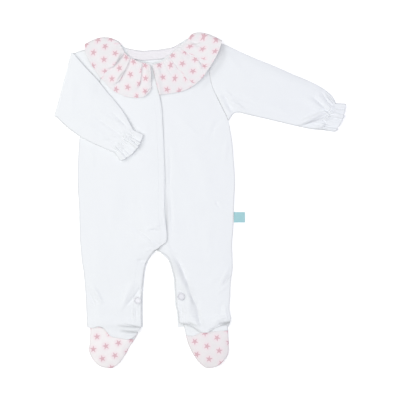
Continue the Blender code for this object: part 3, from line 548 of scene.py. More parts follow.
def overlap_rise(x, y):
    """How far the right front rises over the left front's edge."""
    near = x_at(LEFT_FREE_EDGE, y) - OVERLAP_CLEAR
    over = ease(-OVERLAP_RAMP, 0, x - near) * ease(*OVERLAP_FOOT, y - CROTCH[1])
    return (WALL + GAP + LAID_ON) * over


def right_front_bed(x, y):
    """Underside of the right front, which stands off the left one above the crotch."""
    to_edge = x_at(RIGHT_FREE_EDGE, y) - x
    stand = mix(*STAND, ease(*STAND_STEP, to_edge)) * ease(*STAND_ACROSS, to_edge)
    return front_bed(x, y) + overlap_rise(x, y) + stand * ease(*STAND_START, y) * ease(*STAND_END, y)


def collar_bed(x, y):
    """Lowest level of the collar over the fronts and the roots of the sleeves."""
    edge = x_at(RIGHT_FREE_EDGE, y)
    rise = overlap_rise(x, y) * (1 - ease(*COLLAR_DROP, x - edge))
    beside = ease(*BESIDE_LEFT, x) + ease(*BESIDE_RIGHT, x)
    return front_bed(x, y) + rise + WALL + GAP + LAID_ON + SLEEVE_ALLOWANCE * beside


def forearm_bed(x, y):
    """Level that the folded sleeve lies on: the right front, then the upper arm."""
    beside = ease(*BESIDE_FOREARM, x)
    puffed = sum(
        height * np.exp(-((x - puff_x) ** 2 + (y - puff_y) ** 2) / spread)
        for puff_x, puff_y, spread, height in FOREARM_PUFFS
    )
    return right_front_bed(x, y) + WALL + GAP + LAID_ON + SLEEVE_ALLOWANCE * beside + puffed


# ---------------------------------------------------------------- meshes

def grid_faces(rows, columns, around=False):
    index = np.arange(rows * columns).reshape(rows, columns)
    right = np.roll(index, -1, 1) if around else index[:, 1:]
    here = index if around else index[:, :-1]
    return np.stack([here[:-1], here[1:], right[1:], right[:-1]], -1).reshape(-1, 4)


def welded(points, faces, uv):
    """Joins points that coincide, as where two halves share a line."""
    _, first, index = np.unique(
        np.round(points, WELD_DIGITS), axis=0, return_index=True, return_inverse=True
    )
    return points[first], index.reshape(-1)[faces], uv[first]


def face_normals(points, faces):
    a, b, c, d = (points[faces[:, k]] for k in range(4))
    return np.cross(c - a, d - b)


def unit(vectors):
    size = np.linalg.norm(vectors, axis=-1, keepdims=True)
    return vectors / np.where(size == 0, 1, size)


def boundary(faces):
    """Edges with one face, in that face's direction, as pairs of points."""
    starts = faces.reshape(-1)
    ends = np.roll(faces, -1, 1).reshape(-1)
    low, high = np.minimum(starts, ends), np.maximum(starts, ends)
    _, first, count = np.unique(low * (high.max() + 1) + high, return_index=True, return_counts=True)
    once = first[count == 1]
    return starts[once], ends[once]


def shell(points, faces, uv, wall):
    """Closed cloth: an even wall about the middle points, with half-round edges."""
    half = wall / 2
    normals = np.zeros_like(points)
    of_faces = face_normals(points, faces)
    for corner in range(4):
        np.add.at(normals, faces[:, corner], of_faces)
    normals = unit(normals)
    starts, ends = boundary(faces)
    outward = np.zeros_like(points)
    run = points[ends] - points[starts]
    beyond = unit(np.cross(run, normals[starts]))
    np.add.at(outward, starts, beyond)
    np.add.at(outward, ends, beyond)
    outward = unit(outward)
    edge = np.unique(starts)
    drawn_in = points - outward * half
    angles = [math.pi * step / (RIM_STEPS + 1) for step in range(1, RIM_STEPS + 1)]
    rings = [
        drawn_in[edge] + half * (math.cos(a) * normals[edge] + math.sin(a) * outward[edge])
        for a in angles
    ]
    count = len(points)
    place = np.zeros(count, int)
    place[edge] = np.arange(len(edge))
    levels, others = (
        [ring, *[2 * count + k * len(edge) + place[ring] for k in range(RIM_STEPS)], count + ring]
        for ring in (starts, ends)
    )
    rim = [
        np.stack([others[k], levels[k], levels[k + 1], others[k + 1]], -1)
        for k in range(RIM_STEPS + 1)
    ]
    solid = np.vstack([drawn_in + half * normals, drawn_in - half * normals, *rings])
    every = np.vstack([faces, faces[:, ::-1] + count, *rim])
    return solid, every, np.vstack([uv, uv, *[uv[edge]] * RIM_STEPS])


def distance_to(lines, points):
    """Distance in plan from each point to the nearest of some lines."""
    nearest = np.full(len(points), np.inf)
    for line in lines:
        line = np.asarray(line, float)
        for start, end in zip(line, line[1:]):
            run = end - start
            share = np.clip((points[:, :2] - start) @ run / max(run @ run, 1e-9), 0, 1)
            off = points[:, :2] - start - share[:, None] * run
            nearest = np.minimum(nearest, np.hypot(off[:, 0], off[:, 1]))
    return nearest


def painted_shade_at(points, painted_shade_rims, folds):
    """Painted shade: share of light that the cloth's colour keeps along its rims and in its deep folds."""
    edge = mix(RIM_PAINTED_SHADE, 1, ease(0, RIM_PAINTED_SHADE_WIDTH, distance_to(painted_shade_rims, points)))
    return edge * (1 + creased(folds, points[:, 0], points[:, 1]))


def add_mesh(name, points, faces, uv, look, painted_shade_rims=(), folds=()):
    mesh = bpy.data.meshes.new(name)
    mesh.from_pydata((points * MM).tolist(), [], faces.tolist())
    # painted shade of the rims and folds, kept on the points and multiplied into the colour
    shade = mesh.attributes.new("shade", "FLOAT", "POINT")
    shade.data.foreach_set("value", painted_shade_at(points, painted_shade_rims, folds).astype(np.float32))
    layer = mesh.uv_layers.new(name="cloth")
    corners = np.empty(len(mesh.loops), int)
    mesh.loops.foreach_get("vertex_index", corners)
    layer.data.foreach_set("uv", uv[corners].astype(np.float32).reshape(-1))
    mesh.materials.append(look)
    mesh.shade_smooth()
    piece = bpy.data.objects.new(name, mesh)
    bpy.context.scene.collection.objects.link(piece)
    return piece


def keep(piece, nodes, slot):
    """The piece stands for one or more solids: it rides on the root and hides them. Its slot is not used."""
    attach(piece, "root")
    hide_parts(*nodes)
    return piece


class Cloth:
    """A kind of cloth: its wall, its look and its slot of the record."""

    def __init__(self, wall, look, slot):
        self.wall = wall
        self.look = look
        self.slot = slot


def add_cloth(nodes, grid, cloth, uv=None, painted_shade_rims=(), folds=(), around=False):
    """A cloth piece through a grid of middle points, with painted shade along its rims and in its folds."""
    rows, columns = grid.shape[:2]
    if uv is None:
        uv = grid[..., :2]
    points, faces, flat = shell(
        grid.reshape(-1, 3), grid_faces(rows, columns, around), uv.reshape(-1, 2), cloth.wall
    )
    piece = add_mesh("cloth_" + nodes[0], points, faces, flat, cloth.look, painted_shade_rims, folds)
    return keep(piece, nodes, cloth.slot)


def lay(node, grid, bed, cloth, uv=None, painted_shade_rims=(), folds=()):
    """A cloth piece over a plan grid, with its underside on a bed."""
    x, y = grid[..., 0], grid[..., 1]
    return add_cloth([node], np.stack([x, y, bed(x, y) + cloth.wall / 2], -1), cloth, uv, painted_shade_rims, folds)


def arcs(grid):
    """Lengths along a grid's rows and down its columns."""
    across, down = np.zeros((2, *grid.shape[:2]))
    across[:, 1:] = np.cumsum(np.linalg.norm(np.diff(grid, axis=1), axis=-1), 1)
    down[1:] = np.cumsum(np.linalg.norm(np.diff(grid, axis=0), axis=-1), 0)
    return across, down


def arc_uv(grid):
    """Flat cloth coordinates of a grid, from its middle column."""
    across, down = arcs(grid)
    return np.stack([across - across[:, grid.shape[1] // 2][:, None], -down], -1)


# ---------------------------------------------------------------- materials

class Value:
    """A number in a material. Arithmetic on it adds math nodes."""

    def __init__(self, graph, socket):
        self.graph = graph
        self.socket = socket

    def __add__(self, other):
        return self.graph.math("ADD", self, other)

    def __sub__(self, other):
        return self.graph.math("SUBTRACT", self, other)

    def __rsub__(self, other):
        return self.graph.math("SUBTRACT", other, self)

    def __mul__(self, other):
        return self.graph.math("MULTIPLY", self, other)

    def __truediv__(self, other):
        return self.graph.math("DIVIDE", self, other)


class Graph:
    """Short calls for the nodes of one material."""

    def __init__(self, name, **sockets):
        self.made = bpy.data.materials.new(name)
        self.made.use_nodes = True
        self.tree = self.made.node_tree
        self.shader = self.tree.nodes["Principled BSDF"]
        for socket, value in sockets.items():
            self.set(socket.replace("_", " "), value)

    def feed(self, socket, value):
        if isinstance(value, Value):
            self.tree.links.new(value.socket, socket)
        else:
            socket.default_value = value

    def set(self, name, value):
        self.feed(self.shader.inputs[name], value)

    def node(self, kind, inputs=(), output=0, **settings):
        node = self.tree.nodes.new(kind)
        for key, value in settings.items():
            setattr(node, key, value)
        for key, value in dict(inputs).items():
            self.feed(node.inputs[key], value)
        return Value(self, node.outputs[output])

    def math(self, operation, *values):
        return self.node("ShaderNodeMath", dict(enumerate(values)), operation=operation)

    def cloth(self):
        """The two flat coordinates, in millimetres."""
        place = self.node("ShaderNodeUVMap", uv_map="cloth")
        return [self.node("ShaderNodeSeparateXYZ", {0: place}, axis) for axis in (0, 1)]

    def noise(self, scale, detail=2.0):
        where = self.node("ShaderNodeTexCoord", output="Object")
        return self.node("ShaderNodeTexNoise", {"Vector": where, "Scale": scale, "Detail": detail})

    def blend(self, share, first, second, how="MIX"):
        inputs = {0: share, 6: first, 7: second}
        return self.node("ShaderNodeMix", inputs, 2, data_type="RGBA", blend_type=how)

    def bump(self, height, distance, strength=1.0, below=None):
        inputs = {"Height": height, "Distance": distance, "Strength": strength}
        if below is not None:
            inputs["Normal"] = below
        return self.node("ShaderNodeBump", inputs)

    def with_painted_shade(self, colour):
        """The colour darkened by painted shade along rims and in deep folds, where the cloth turns under."""
        # painted shade read from the mesh
        kept = self.node("ShaderNodeAttribute", output="Fac", attribute_name="shade")
        return self.blend(1.0, colour, kept, "MULTIPLY")


def linear(red, green, blue):
    """A colour from 0 to 255 per channel, as light."""
    return tuple(
        c / 12.92 if c <= 0.04045 else ((c + 0.055) / 1.055) ** 2.4
        for c in (red / 255, green / 255, blue / 255)
    ) + (1.0,)


WALE = 1.15  # width of a column of knit loops
COURSE = 0.85  # height of a row of them


def knit_height(g):
    """Columns of V-shaped loops."""
    u, v = g.cloth()
    off = g.math("ABSOLUTE", g.math("FRACT", u / WALE) - 0.5)
    loops = g.math("SINE", (v / COURSE + off) * (2 * math.pi))
    return loops * 0.35 + off * off * -4.0


def make_jersey(name, colour, shade):
    g = Graph(name, Roughness=0.92, Specular_IOR_Level=0.25, Sheen_Weight=0.12, Sheen_Roughness=0.5)
    # base colour with painted shade along rims and in folds
    g.set("Base Color", g.with_painted_shade(g.blend(g.noise(38.0, 3.0) * 0.5, linear(*colour), linear(*shade))))
    fuzz = g.bump(g.noise(900.0, 3.0), 0.00012, 0.5)
    g.set("Normal", g.bump(knit_height(g), 0.00008, 0.6, fuzz))
    return g.made


STAR_PITCH = 19.4  # between neighbouring stars
STAR_ROW = STAR_PITCH * math.sqrt(3) / 2
STAR_RADIUS = 5.4
STAR_WAIST = 0.4  # inner corners over outer ones
STAR_SOFT_EDGE = 0.15
STAR_BLEED = 2.5  # how far a star's ink tints the ground
STAR_TURN = 0.3  # how far a star may be turned, in radians
FIFTH = 2 * math.pi / 5
STAR_INK = (222, 184, 191)
STAR_TINT = (245, 228, 231)  # of the ground beside a star
THREAD_PITCH = 0.55  # of the print's weave
RIB_PITCH = 0.7  # of the tab's ribbon


def star_shape(g, u, v):
    """Cover by the stars of every second row, 1 inside a star and 0 outside, and their bleed."""
    cell_u = g.math("ROUND", u / STAR_PITCH)
    cell_v = g.math("ROUND", v / (2 * STAR_ROW))
    x, y = u - cell_u * STAR_PITCH, v - cell_v * (2 * STAR_ROW)
    turn = g.math("SINE", cell_u * 2.1 + cell_v * 3.7) * STAR_TURN
    angle = g.math("ARCTAN2", x, y) + turn
    folded = g.math("ABSOLUTE", g.math("FLOORED_MODULO", angle + FIFTH / 2, FIFTH) - FIFTH / 2)
    radius = g.math("SQRT", x * x + y * y)
    # Distance inside the straight edge from a tip to the next inner corner
    notch_x, notch_y = (STAR_RADIUS * STAR_WAIST * turned(FIFTH / 2) for turned in (math.cos, math.sin))
    edge = math.hypot(STAR_RADIUS - notch_x, notch_y)
    rise = (STAR_RADIUS - radius * g.math("COSINE", folded)) * (notch_y / edge)
    inside = rise - radius * g.math("SINE", folded) * ((STAR_RADIUS - notch_x) / edge)
    cover = (inside + STAR_SOFT_EDGE) / (2 * STAR_SOFT_EDGE)
    bleed = (STAR_RADIUS + STAR_BLEED - radius) / (STAR_BLEED + 1)
    return [g.node("ShaderNodeClamp", {0: share}) for share in (cover, bleed)]


def make_print(name, ground, deeper):
    """Stars in staggered rows on a ground between two colours."""
    g = Graph(name, Roughness=0.85, Specular_IOR_Level=0.3, Sheen_Weight=0.06)
    u, v = g.cloth()
    rows = star_shape(g, u, v), star_shape(g, u + STAR_PITCH / 2, v + STAR_ROW)
    stars, bleed = (g.math("MAXIMUM", *pair) for pair in zip(*rows))
    ground = g.blend(g.noise(90.0, 3.0), linear(*deeper), linear(*ground))
    ground = g.blend(bleed * 0.8, ground, linear(*STAR_TINT))
    inked = stars * (g.noise(700.0) * 0.2 + 0.86)
    # printed colour with painted shade along rims and in folds
    g.set("Base Color", g.with_painted_shade(g.blend(inked, ground, linear(*STAR_INK))))
    warp, weft = (g.math("SINE", at * (2 * math.pi / THREAD_PITCH)) for at in (u, v))
    slub = g.bump(g.noise(260.0, 2.0), 0.00015, 0.4)
    g.set("Normal", g.bump(warp * weft, 0.00005, 0.5, slub))
    return g.made


def make_plain(name, colour, roughness, bumped=0.0):
    g = Graph(name, Roughness=roughness)
    deeper = [channel * 0.97 for channel in colour]
    g.set("Base Color", g.blend(g.noise(120.0), linear(*colour), linear(*deeper)))
    if bumped:
        g.set("Normal", g.bump(g.noise(500.0), bumped, 0.5))
    return g.made


def make_ribbon(name, colour, lighter):
    """Fine woven ribs across a ribbon."""
    g = Graph(name, Roughness=0.55, Sheen_Weight=0.1)
    ribs = g.math("SINE", g.cloth()[1] * (2 * math.pi / RIB_PITCH))
    g.set("Base Color", g.blend(g.noise(300.0), linear(*colour), linear(*lighter)))
    g.set("Normal", g.bump(ribs, 0.00006, 0.7))
    return g.made


def star_print(name, wall, ground, deeper):
    return Cloth(wall, make_print(name, ground, deeper), "star_print")


JERSEY = Cloth(WALL, make_jersey("white jersey", (241, 243, 244), (238, 240, 241)), "white_jersey")
RUFFLE = star_print("star print cotton", RUFFLE_WALL, (242, 239, 238), (237, 234, 235))
# the star print in two copies: lighter on the right foot as painted light, darker on the left foot as painted
# shade
FOOT_PRINTS_LIT_AND_SHADED = {
    "right": star_print("star print of the right foot with painted light", PRINT_WALL, (248, 244, 242), (243, 238, 238)),
    "left": star_print("star print of the left foot with painted shade", PRINT_WALL, (242, 237, 236), (237, 232, 232)),
}
TAPE = Cloth(TAPE_WALL, make_plain("neck tape", (242, 239, 241), 0.9, 0.0001), "tape")
AQUA = Cloth(TAB_LAYER, make_ribbon("side tab", (158, 206, 210), (172, 214, 218)), "aqua_tab")
# the left snap is a darker copy of the same snap, painted shade
SNAP_LOOKS = {
    "right": make_plain("snap", (234, 234, 237), 0.3),
    "left": make_plain("snap in painted shade", (227, 227, 231), 0.35),
}
THREAD = make_plain("sewing thread", (240, 240, 243), 0.7, 0.0001)


# ---------------------------------------------------------------- sewing

STITCH_PITCH = 2.3
STITCH_LENGTH = 1.75
THREAD_HALF = 0.17  # half of a thread's width
# A stitch's four rings of four points: place along it, width, height
STITCH_PROFILE = ((0, 0.4, -0.12), (0.2, 1, 0.08), (0.8, 1, 0.08), (1, 0.4, -0.12))
STITCH_POINTS = 16
STITCH_ENDS = [[0, 1, 2, 3], [15, 14, 13, 12]]
PATH_PITCH = 1.5  # between the points of a row of stitches' path


def add_stitches(name, nodes, paths):
    """Rows of short stitches along paths on a piece's upper face, as one mesh."""
    place, width, height = np.array(STITCH_PROFILE).T
    points = []
    for path in paths:
        run = length_along(path)
        starts = np.arange(STITCH_PITCH / 2, run[-1] - STITCH_PITCH, STITCH_PITCH)
        at = starts[:, None] + STITCH_LENGTH * place
        middle = np.stack([np.interp(at, run, axis) for axis in path.T], -1)
        forward = unit(middle[:, -1] - middle[:, 0])[:, None]
        side = unit(np.cross(forward, [0.0, 0.0, 1.0]))
        up = np.cross(side, forward)
        middle = middle + up * height[:, None]
        rings = [middle + across * THREAD_HALF * width[:, None] for across in (side, up, -side, -up)]
        points.append(np.stack(rings, 2).reshape(-1, 3))
    points = np.vstack(points)
    one = np.vstack([grid_faces(4, 4, True), STITCH_ENDS])
    faces = (one + np.arange(0, len(points), STITCH_POINTS)[:, None, None]).reshape(-1, 4)
    piece = add_mesh("stitches_" + name, points, faces, points[:, :2], THREAD)
    return keep(piece, nodes, "white_jersey")


def on_cloth(line, bed, wall, low=-1e3, high=1e3):
    """A line in plan as a path on a piece's upper face, between two levels."""
    line = smooth(np.asarray(line, float), 3)
    line = line[(line[:, 1] > low) & (line[:, 1] < high)]
    line = along(line, even(max(int(length_along(line)[-1] / PATH_PITCH), 2)))
    return np.column_stack([line, bed(line[:, 0], line[:, 1]) + wall])


# ---------------------------------------------------------------- body

FRONT_LENGTH = 425
BODY_PITCH = 1.4  # between the fronts' rows of points
BACK_PITCH = 1.9
BACK_COLUMNS = even(64)
PLACKET_ROWS = (2.0, 9.5)  # rows of stitches, in from the free edge
FACING_ROWS = (1.8, 12.5)  # the same along the inner legs
HEM_ROW = 3.2


def make_back():
    """One panel with both legs: two halves that share the centre line down to the crotch."""
    centre = np.array([BACK_TOP[BACK_TOP_CENTRE]])
    full = centre[0, 1] - ANKLE_Y
    crotch_share = (centre[0, 1] - CROTCH[1]) / full
    above, below = (round(share * full / BACK_PITCH) for share in (crotch_share, 1 - crotch_share))
    rows = np.concatenate([crotch_share * even(above)[:-1], mix(crotch_share, 1, even(below))])
    outer = [trimmed(line, ANKLE_Y) for line in (RIGHT_OUTLINE, LEFT_OUTLINE)]
    inner = [np.vstack([centre, trimmed(line, ANKLE_Y)]) for line in (RIGHT_INNER, LEFT_INNER)]
    halves = (
        (BACK_TOP[: BACK_TOP_CENTRE + 1], outer[0], inner[0]),
        (BACK_TOP[BACK_TOP_CENTRE:], inner[1], outer[1]),
    )
    points, faces = [], []
    for top, left_edge, right_edge in halves:
        bottom = [left_edge[-1], right_edge[-1]]
        grid = patch(top, bottom, left_edge, right_edge, rows, BACK_COLUMNS, at_levels)
        x, y = grid[..., 0], grid[..., 1]
        dents = np.clip(creased(BACK_CREASES, x, y) + 0.5 * softness(x, y, 2.0), 0, 0.8)
        inside = crown(across_body(x, y), 12) * (y > ANKLE_Y + 12)
        faces.append(grid_faces(*x.shape) + sum(len(half) for half in points))
        points.append(np.stack([x, y, lift(x, y) + WALL / 2 + dents * inside], -1).reshape(-1, 3))
    points, faces = np.vstack(points), np.vstack(faces)
    points, faces, uv = shell(*welded(points, faces, points[:, :2]), WALL)
    # painted shade along the back's neck edge
    piece = add_mesh("cloth_back", points, faces, uv, JERSEY.look, [BACK_TOP])
    return keep(piece, ["back"], JERSEY.slot)


def make_front(side, top, hem, edges, columns, bed, painted_shade_rims, folds, seams):
    """A front with the front of its leg, and its rows of stitches."""
    node = "front_" + side
    rows = even(round(FRONT_LENGTH / BODY_PITCH))
    grid = patch(top, smooth(hem), *edges, rows, even(columns), at_levels)
    piece = lay(node, grid, bed, JERSEY, painted_shade_rims=painted_shade_rims, folds=folds)
    paths = [on_cloth(line, bed, WALL, *levels) for line, *levels in seams]
    add_stitches(node, [node], [*paths, on_cloth(np.array(hem[1:-1]) + [0, HEM_ROW], bed, WALL)])
    return piece


def make_fronts():
    """The right front, whose edge lies on the left one, and the left front."""
    setback = np.array([FRONT_INSEAM_SETBACK, 0])
    right_inseam, left_inseam = np.array(RIGHT_INSEAM[2:]) - setback, np.array(LEFT_INSEAM[2:]) + setback
    # each front gets painted shade along its outline and inseam, and painted shade and shadow from the tables
    right = make_front(
        "right", RIGHT_FRONT_TOP, RIGHT_HEM,
        (RIGHT_OUTLINE, smooth([*RIGHT_FRONT_EDGE, *right_inseam])), 88, right_front_bed,
        [RIGHT_OUTLINE, RIGHT_INNER - setback], RIGHT_LEG_PAINTED_SHADE + CROTCH_PAINTED_SHADE + NECK_PAINTED_SHADOW,
        [
            *[(RIGHT_FREE_EDGE - [row, 0], -72, 152) for row in PLACKET_ROWS],
            *[(right_inseam - [row, 0], -187) for row in FACING_ROWS],
        ],
    )
    left = make_front(
        "left", LEFT_FRONT_TOP, LEFT_HEM,
        (smooth([*LEFT_FRONT_EDGE, *left_inseam]), LEFT_OUTLINE), 84, front_bed,
        [LEFT_OUTLINE[LEFT_OUTLINE[:, 1] < UNDERARM_Y], LEFT_INNER + setback],
        LEFT_LEG_PAINTED_SHADE + CROTCH_PAINTED_SHADE + PLACKET_PAINTED_SHADOW + SHOULDER_PAINTED_SHADOW,
        [(left_inseam + [row, 0], -182) for row in FACING_ROWS],
    )
    return right, left


# ---------------------------------------------------------------- sleeves and cuffs

SIDE_STEPS = 3  # points round each side of a flattened tube
ARMHOLE_GAP = 0.1  # between front and sleeve near the shoulder


def tube(middle, up, gap, wall):
    """Rings round a flattened tube: the first layer across, a side, the other layer back, a side."""
    half = (gap + wall)[..., None] / 2
    first, second = middle + up * half, middle - up * half

    def side(edge, inner):
        outward = unit(middle[:, edge] - middle[:, inner])
        outward = unit(outward - up[:, edge] * np.sum(outward * up[:, edge], -1, keepdims=True))
        turns = [math.pi * step / (SIDE_STEPS + 1) for step in range(1, SIDE_STEPS + 1)]
        points = [
            middle[:, edge] + half[:, edge] * (math.cos(a) * up[:, edge] + math.sin(a) * outward)
            for a in turns
        ]
        return np.stack(points, 1)

    far, near = side(-1, -2), side(0, 1)[:, ::-1]
    return np.concatenate([first, far, second[:, ::-1], near], 1)


def armhole(side):
    """An armhole edge just outside the panels, from the shoulder tip to the underarm."""
    line = trimmed(side, UNDERARM_Y)
    gap = mix(GAP + LAID_ON, ARMHOLE_GAP, ease(140, 180, line[:, 1]))
    line[:, 0] += math.copysign(1, side[0][0]) * gap
    return line


def gathered(share, waves, phase):
    """Uneven gathers across a width, from 0 to 1."""
    wobble = share + 0.034 * np.sin(2 * math.pi * 2.3 * share + phase)
    deep = 0.65 + 0.35 * np.sin(2 * math.pi * 1.7 * share + phase * 2)
    return deep * (1 - np.cos(2 * math.pi * waves * wobble)) / 2


def flat_tube(grid, bed, gap, wall, up):
    """Middle points, directions and gaps of a tube that lies flat on a bed."""
    x, y = grid[..., 0], grid[..., 1]
    middle = np.stack([x, y, bed(x, y) + wall + gap / 2], -1)
    return middle, np.broadcast_to([0.0, 0.0, float(up)], middle.shape), gap


def join(*parts):
    """Stretches of a tube, end to end."""
    return [np.concatenate(arrays) for arrays in zip(*parts)]


SLEEVE_COLUMNS = even(116)
ELASTIC_ROWS = (-3, 2)  # rows of the tube's grid, from the wrist on, that the elastic's stitches follow


def gathers_at(wrist, x, y, share, phase):
    """Puckers of the sleeve's cloth on its way into the elastic."""
    off = np.hypot(x - mix(wrist[0, 0], wrist[1, 0], share), y - mix(wrist[0, 1], wrist[1, 1], share))
    fine = WRIST_WAVE_HEIGHT * gathered(share, WRIST_WAVES, phase) * np.exp(-off / ELASTIC_REACH)
    broad = 0.8 * gathered(share, CUFF_WAVES, phase) * np.exp(-off / 14) * (1 - np.exp(-off / 5))
    return (fine + broad) * crown(share, 12)


def sleeve_grid(first, last, left, right, rows):
    """Plan points of a stretch of sleeve, inside its two edges."""
    return inset_rows(patch(first, last, left, right, rows, SLEEVE_COLUMNS), WALL)


def shares_over(rows):
    """Shares across and down a stretch of sleeve at each of its points."""
    return np.broadcast_arrays(SLEEVE_COLUMNS[None, :], rows[:, None])


def frill(wrist, end, bed, up, phase):
    """The sleeve's end past its elastic, which flares in waves on its upper layer."""
    end, rows = smooth(end), even(22)[1:]
    grid = sleeve_grid(wrist, end, [wrist[0], end[0]], [wrist[1], end[-1]], rows)
    share, down = shares_over(rows)
    wave = gathered(share, CUFF_WAVES, phase)
    # The free edge is scalloped: a gather's crest reaches a little further
    run = unit(grid[-1] - grid[0])[None]
    grid = grid + run * (CUFF_SCALLOP * (wave - 0.5) * down**2)[..., None]
    fine = WRIST_WAVE_HEIGHT * gathered(share, WRIST_WAVES, phase) * (1 - down) ** 2
    gap = SLEEVE_EDGE_GAP + (fine + CUFF_WAVE_HEIGHT * wave * ease(0, 0.7, down)) * crown(share, 12)
    return flat_tube(grid, bed, gap, WALL, up)


def soft_gap(grid, share, wrist, creases, seed, phase):
    """What creases, unevenness and puckers add between a sleeve's layers."""
    x, y = grid[..., 0], grid[..., 1]
    uneven = (creased(creases, x, y) + softness(x, y, seed)) * crown(share, 8)
    return uneven + gathers_at(wrist, x, y, share, phase)


def finish_sleeve(side, rings, wrist_row, upper_layer, painted_shade_rims, folds=()):
    """The sleeve with its cuff, and stitches over the elastic on its upper layer."""
    nodes = ["sleeve_" + side, "cuff_" + side]
    columns = slice(upper_layer + 2, upper_layer + len(SLEEVE_COLUMNS) - 2)
    rows = [rings[wrist_row + step, columns] + [0, 0, WALL / 2] for step in ELASTIC_ROWS]
    add_stitches(nodes[0], nodes, rows)
    return add_cloth(nodes, rings, JERSEY, arc_uv(rings), painted_shade_rims, folds, True)


def make_left_sleeve():
    """A flattened tube, stretched out from the armhole."""
    top = armhole(LEFT_OUTLINE)[::-1]
    lower, upper = smooth(LEFT_SLEEVE_LOWER), smooth(LEFT_SLEEVE_UPPER)
    lower[0], upper[0] = top[0], top[-1]
    wrist = np.array([lower[-1], upper[-1]])
    rows = even(130) ** 0.85
    grid = sleeve_grid(top, wrist, lower, upper, rows)
    share, down = shares_over(rows)
    puffed = SLEEVE_LOFT * crown(share) * crown(down * 0.96 + 0.02, 4)
    soft = soft_gap(grid, share, wrist, SLEEVE_CREASES, 1.0, LEFT_PHASE)
    sleeve = flat_tube(grid, lift, SLEEVE_EDGE_GAP + np.maximum(puffed + soft, CLOSEST_LAYERS), WALL, 1)
    rings = tube(*join(sleeve, frill(wrist, LEFT_CUFF_END[::-1], lift, 1, LEFT_PHASE)), WALL)
    # painted shade along the sleeve's outlines and cuff end
    painted_shade_rims = [
        np.array(LEFT_SLEEVE_UPPER) + [0.5, 1.1], LEFT_SLEEVE_LOWER,
        [LEFT_SLEEVE_UPPER[-1], *LEFT_CUFF_END, LEFT_SLEEVE_LOWER[-1]],
    ]
    return finish_sleeve("left", rings, len(rows), 0, painted_shade_rims, WRIST_PAINTED_SHADE + SHOULDER_PAINTED_SHADOW)


def make_right_sleeve():
    """Upper arm flat beside the shoulder, a fold, then the forearm face down over the front."""
    top = armhole(RIGHT_OUTLINE)
    upper, lower = smooth(RIGHT_UPPER_ARM_UPPER), smooth(RIGHT_UPPER_ARM_LOWER)
    upper[0], lower[0] = top[0], top[-1]
    fold = np.array([upper[-1], lower[-1]])
    grid = sleeve_grid(top, fold, upper, lower, even(20))
    upper_arm = flat_tube(grid, lift, np.full(grid.shape[:2], SLEEVE_EDGE_GAP), WALL, 1)

    x, y = inset_rows(along(fold, SLEEVE_COLUMNS)[None], WALL)[0].T
    low, high = (bed(x, y) + WALL + SLEEVE_EDGE_GAP / 2 for bed in (lift, forearm_bed))
    radius = (high - low) / 2
    turned = math.pi * np.arange(1, FOLD_STEPS)[:, None] / FOLD_STEPS
    out, rise = radius * np.sin(turned), radius * (1 - np.cos(turned))
    middle = np.stack([x + FOLD_OUTWARD[0] * out, y + FOLD_OUTWARD[1] * out, low + rise], -1)
    up = np.stack([*[-part * np.sin(turned) for part in FOLD_OUTWARD], np.cos(turned)], -1)
    bend = (middle, np.broadcast_to(up, middle.shape), np.full(out.shape, SLEEVE_EDGE_GAP))

    upper, lower = smooth(RIGHT_FOREARM_UPPER), smooth(RIGHT_FOREARM_LOWER)
    wrist = np.array([upper[-1], lower[-1]])
    rows = even(110) ** 0.9
    grid = sleeve_grid(fold, wrist, upper, lower, rows)
    share, down = shares_over(rows)
    puffed = FOREARM_LOFT * crown(share) * crown(down, 2)
    soft = soft_gap(grid, share, wrist, FOREARM_CREASES, 3.0, RIGHT_PHASE)
    gap = SLEEVE_EDGE_GAP + np.maximum(puffed + soft, CLOSEST_LAYERS) * ease(0, 0.06, down)
    forearm = flat_tube(grid, forearm_bed, gap, WALL, -1)
    cuff = frill(wrist, RIGHT_CUFF_END, forearm_bed, -1, RIGHT_PHASE)
    rings = tube(*join(upper_arm, bend, forearm, cuff), WALL)
    wrist_row = len(upper_arm[0]) + len(middle) + len(rows)
    # painted shade along part of the outline
    painted_shade_rims = [RIGHT_FOREARM_LOWER[:3], RIGHT_UPPER_ARM_UPPER]
    return finish_sleeve("right", rings, wrist_row, len(SLEEVE_COLUMNS) + SIDE_STEPS, painted_shade_rims)


# ---------------------------------------------------------------- collar

COLLAR_ROWS = 54
STEEP_SHARE = 0.07  # share of a panel that a fold's steep side takes
DYING_SHARE = 0.4  # the same where the fold dies out
HEM_SHARE = 0.955  # where the collar's narrow hem starts
NECK_ROW, COLLAR_HEM_ROW = 2, 51  # rows of the grid that its stitches follow
HEM_STEP = 0.18


# Columns are closer together at a fold: how much, from how far before it and over what width
FOLD_DENSITY, FOLD_LEAD, FOLD_SPREAD = 5, 0.04, 0.09
DENSITY_STEPS = 4000


def rib_places(count, folds, per_rib):
    """Places along the ribs, closer together at the folds."""
    fine = np.linspace(0, count - 1, DENSITY_STEPS)
    density = np.ones_like(fine)
    for fold in folds:
        density += FOLD_DENSITY * np.exp(-(((fine - fold[0] + FOLD_LEAD) / FOLD_SPREAD) ** 2))
    run = np.concatenate([[0], np.cumsum(density[1:])])
    return np.interp(np.linspace(0, run[-1], per_rib * (count - 1) + 1), run, fine)


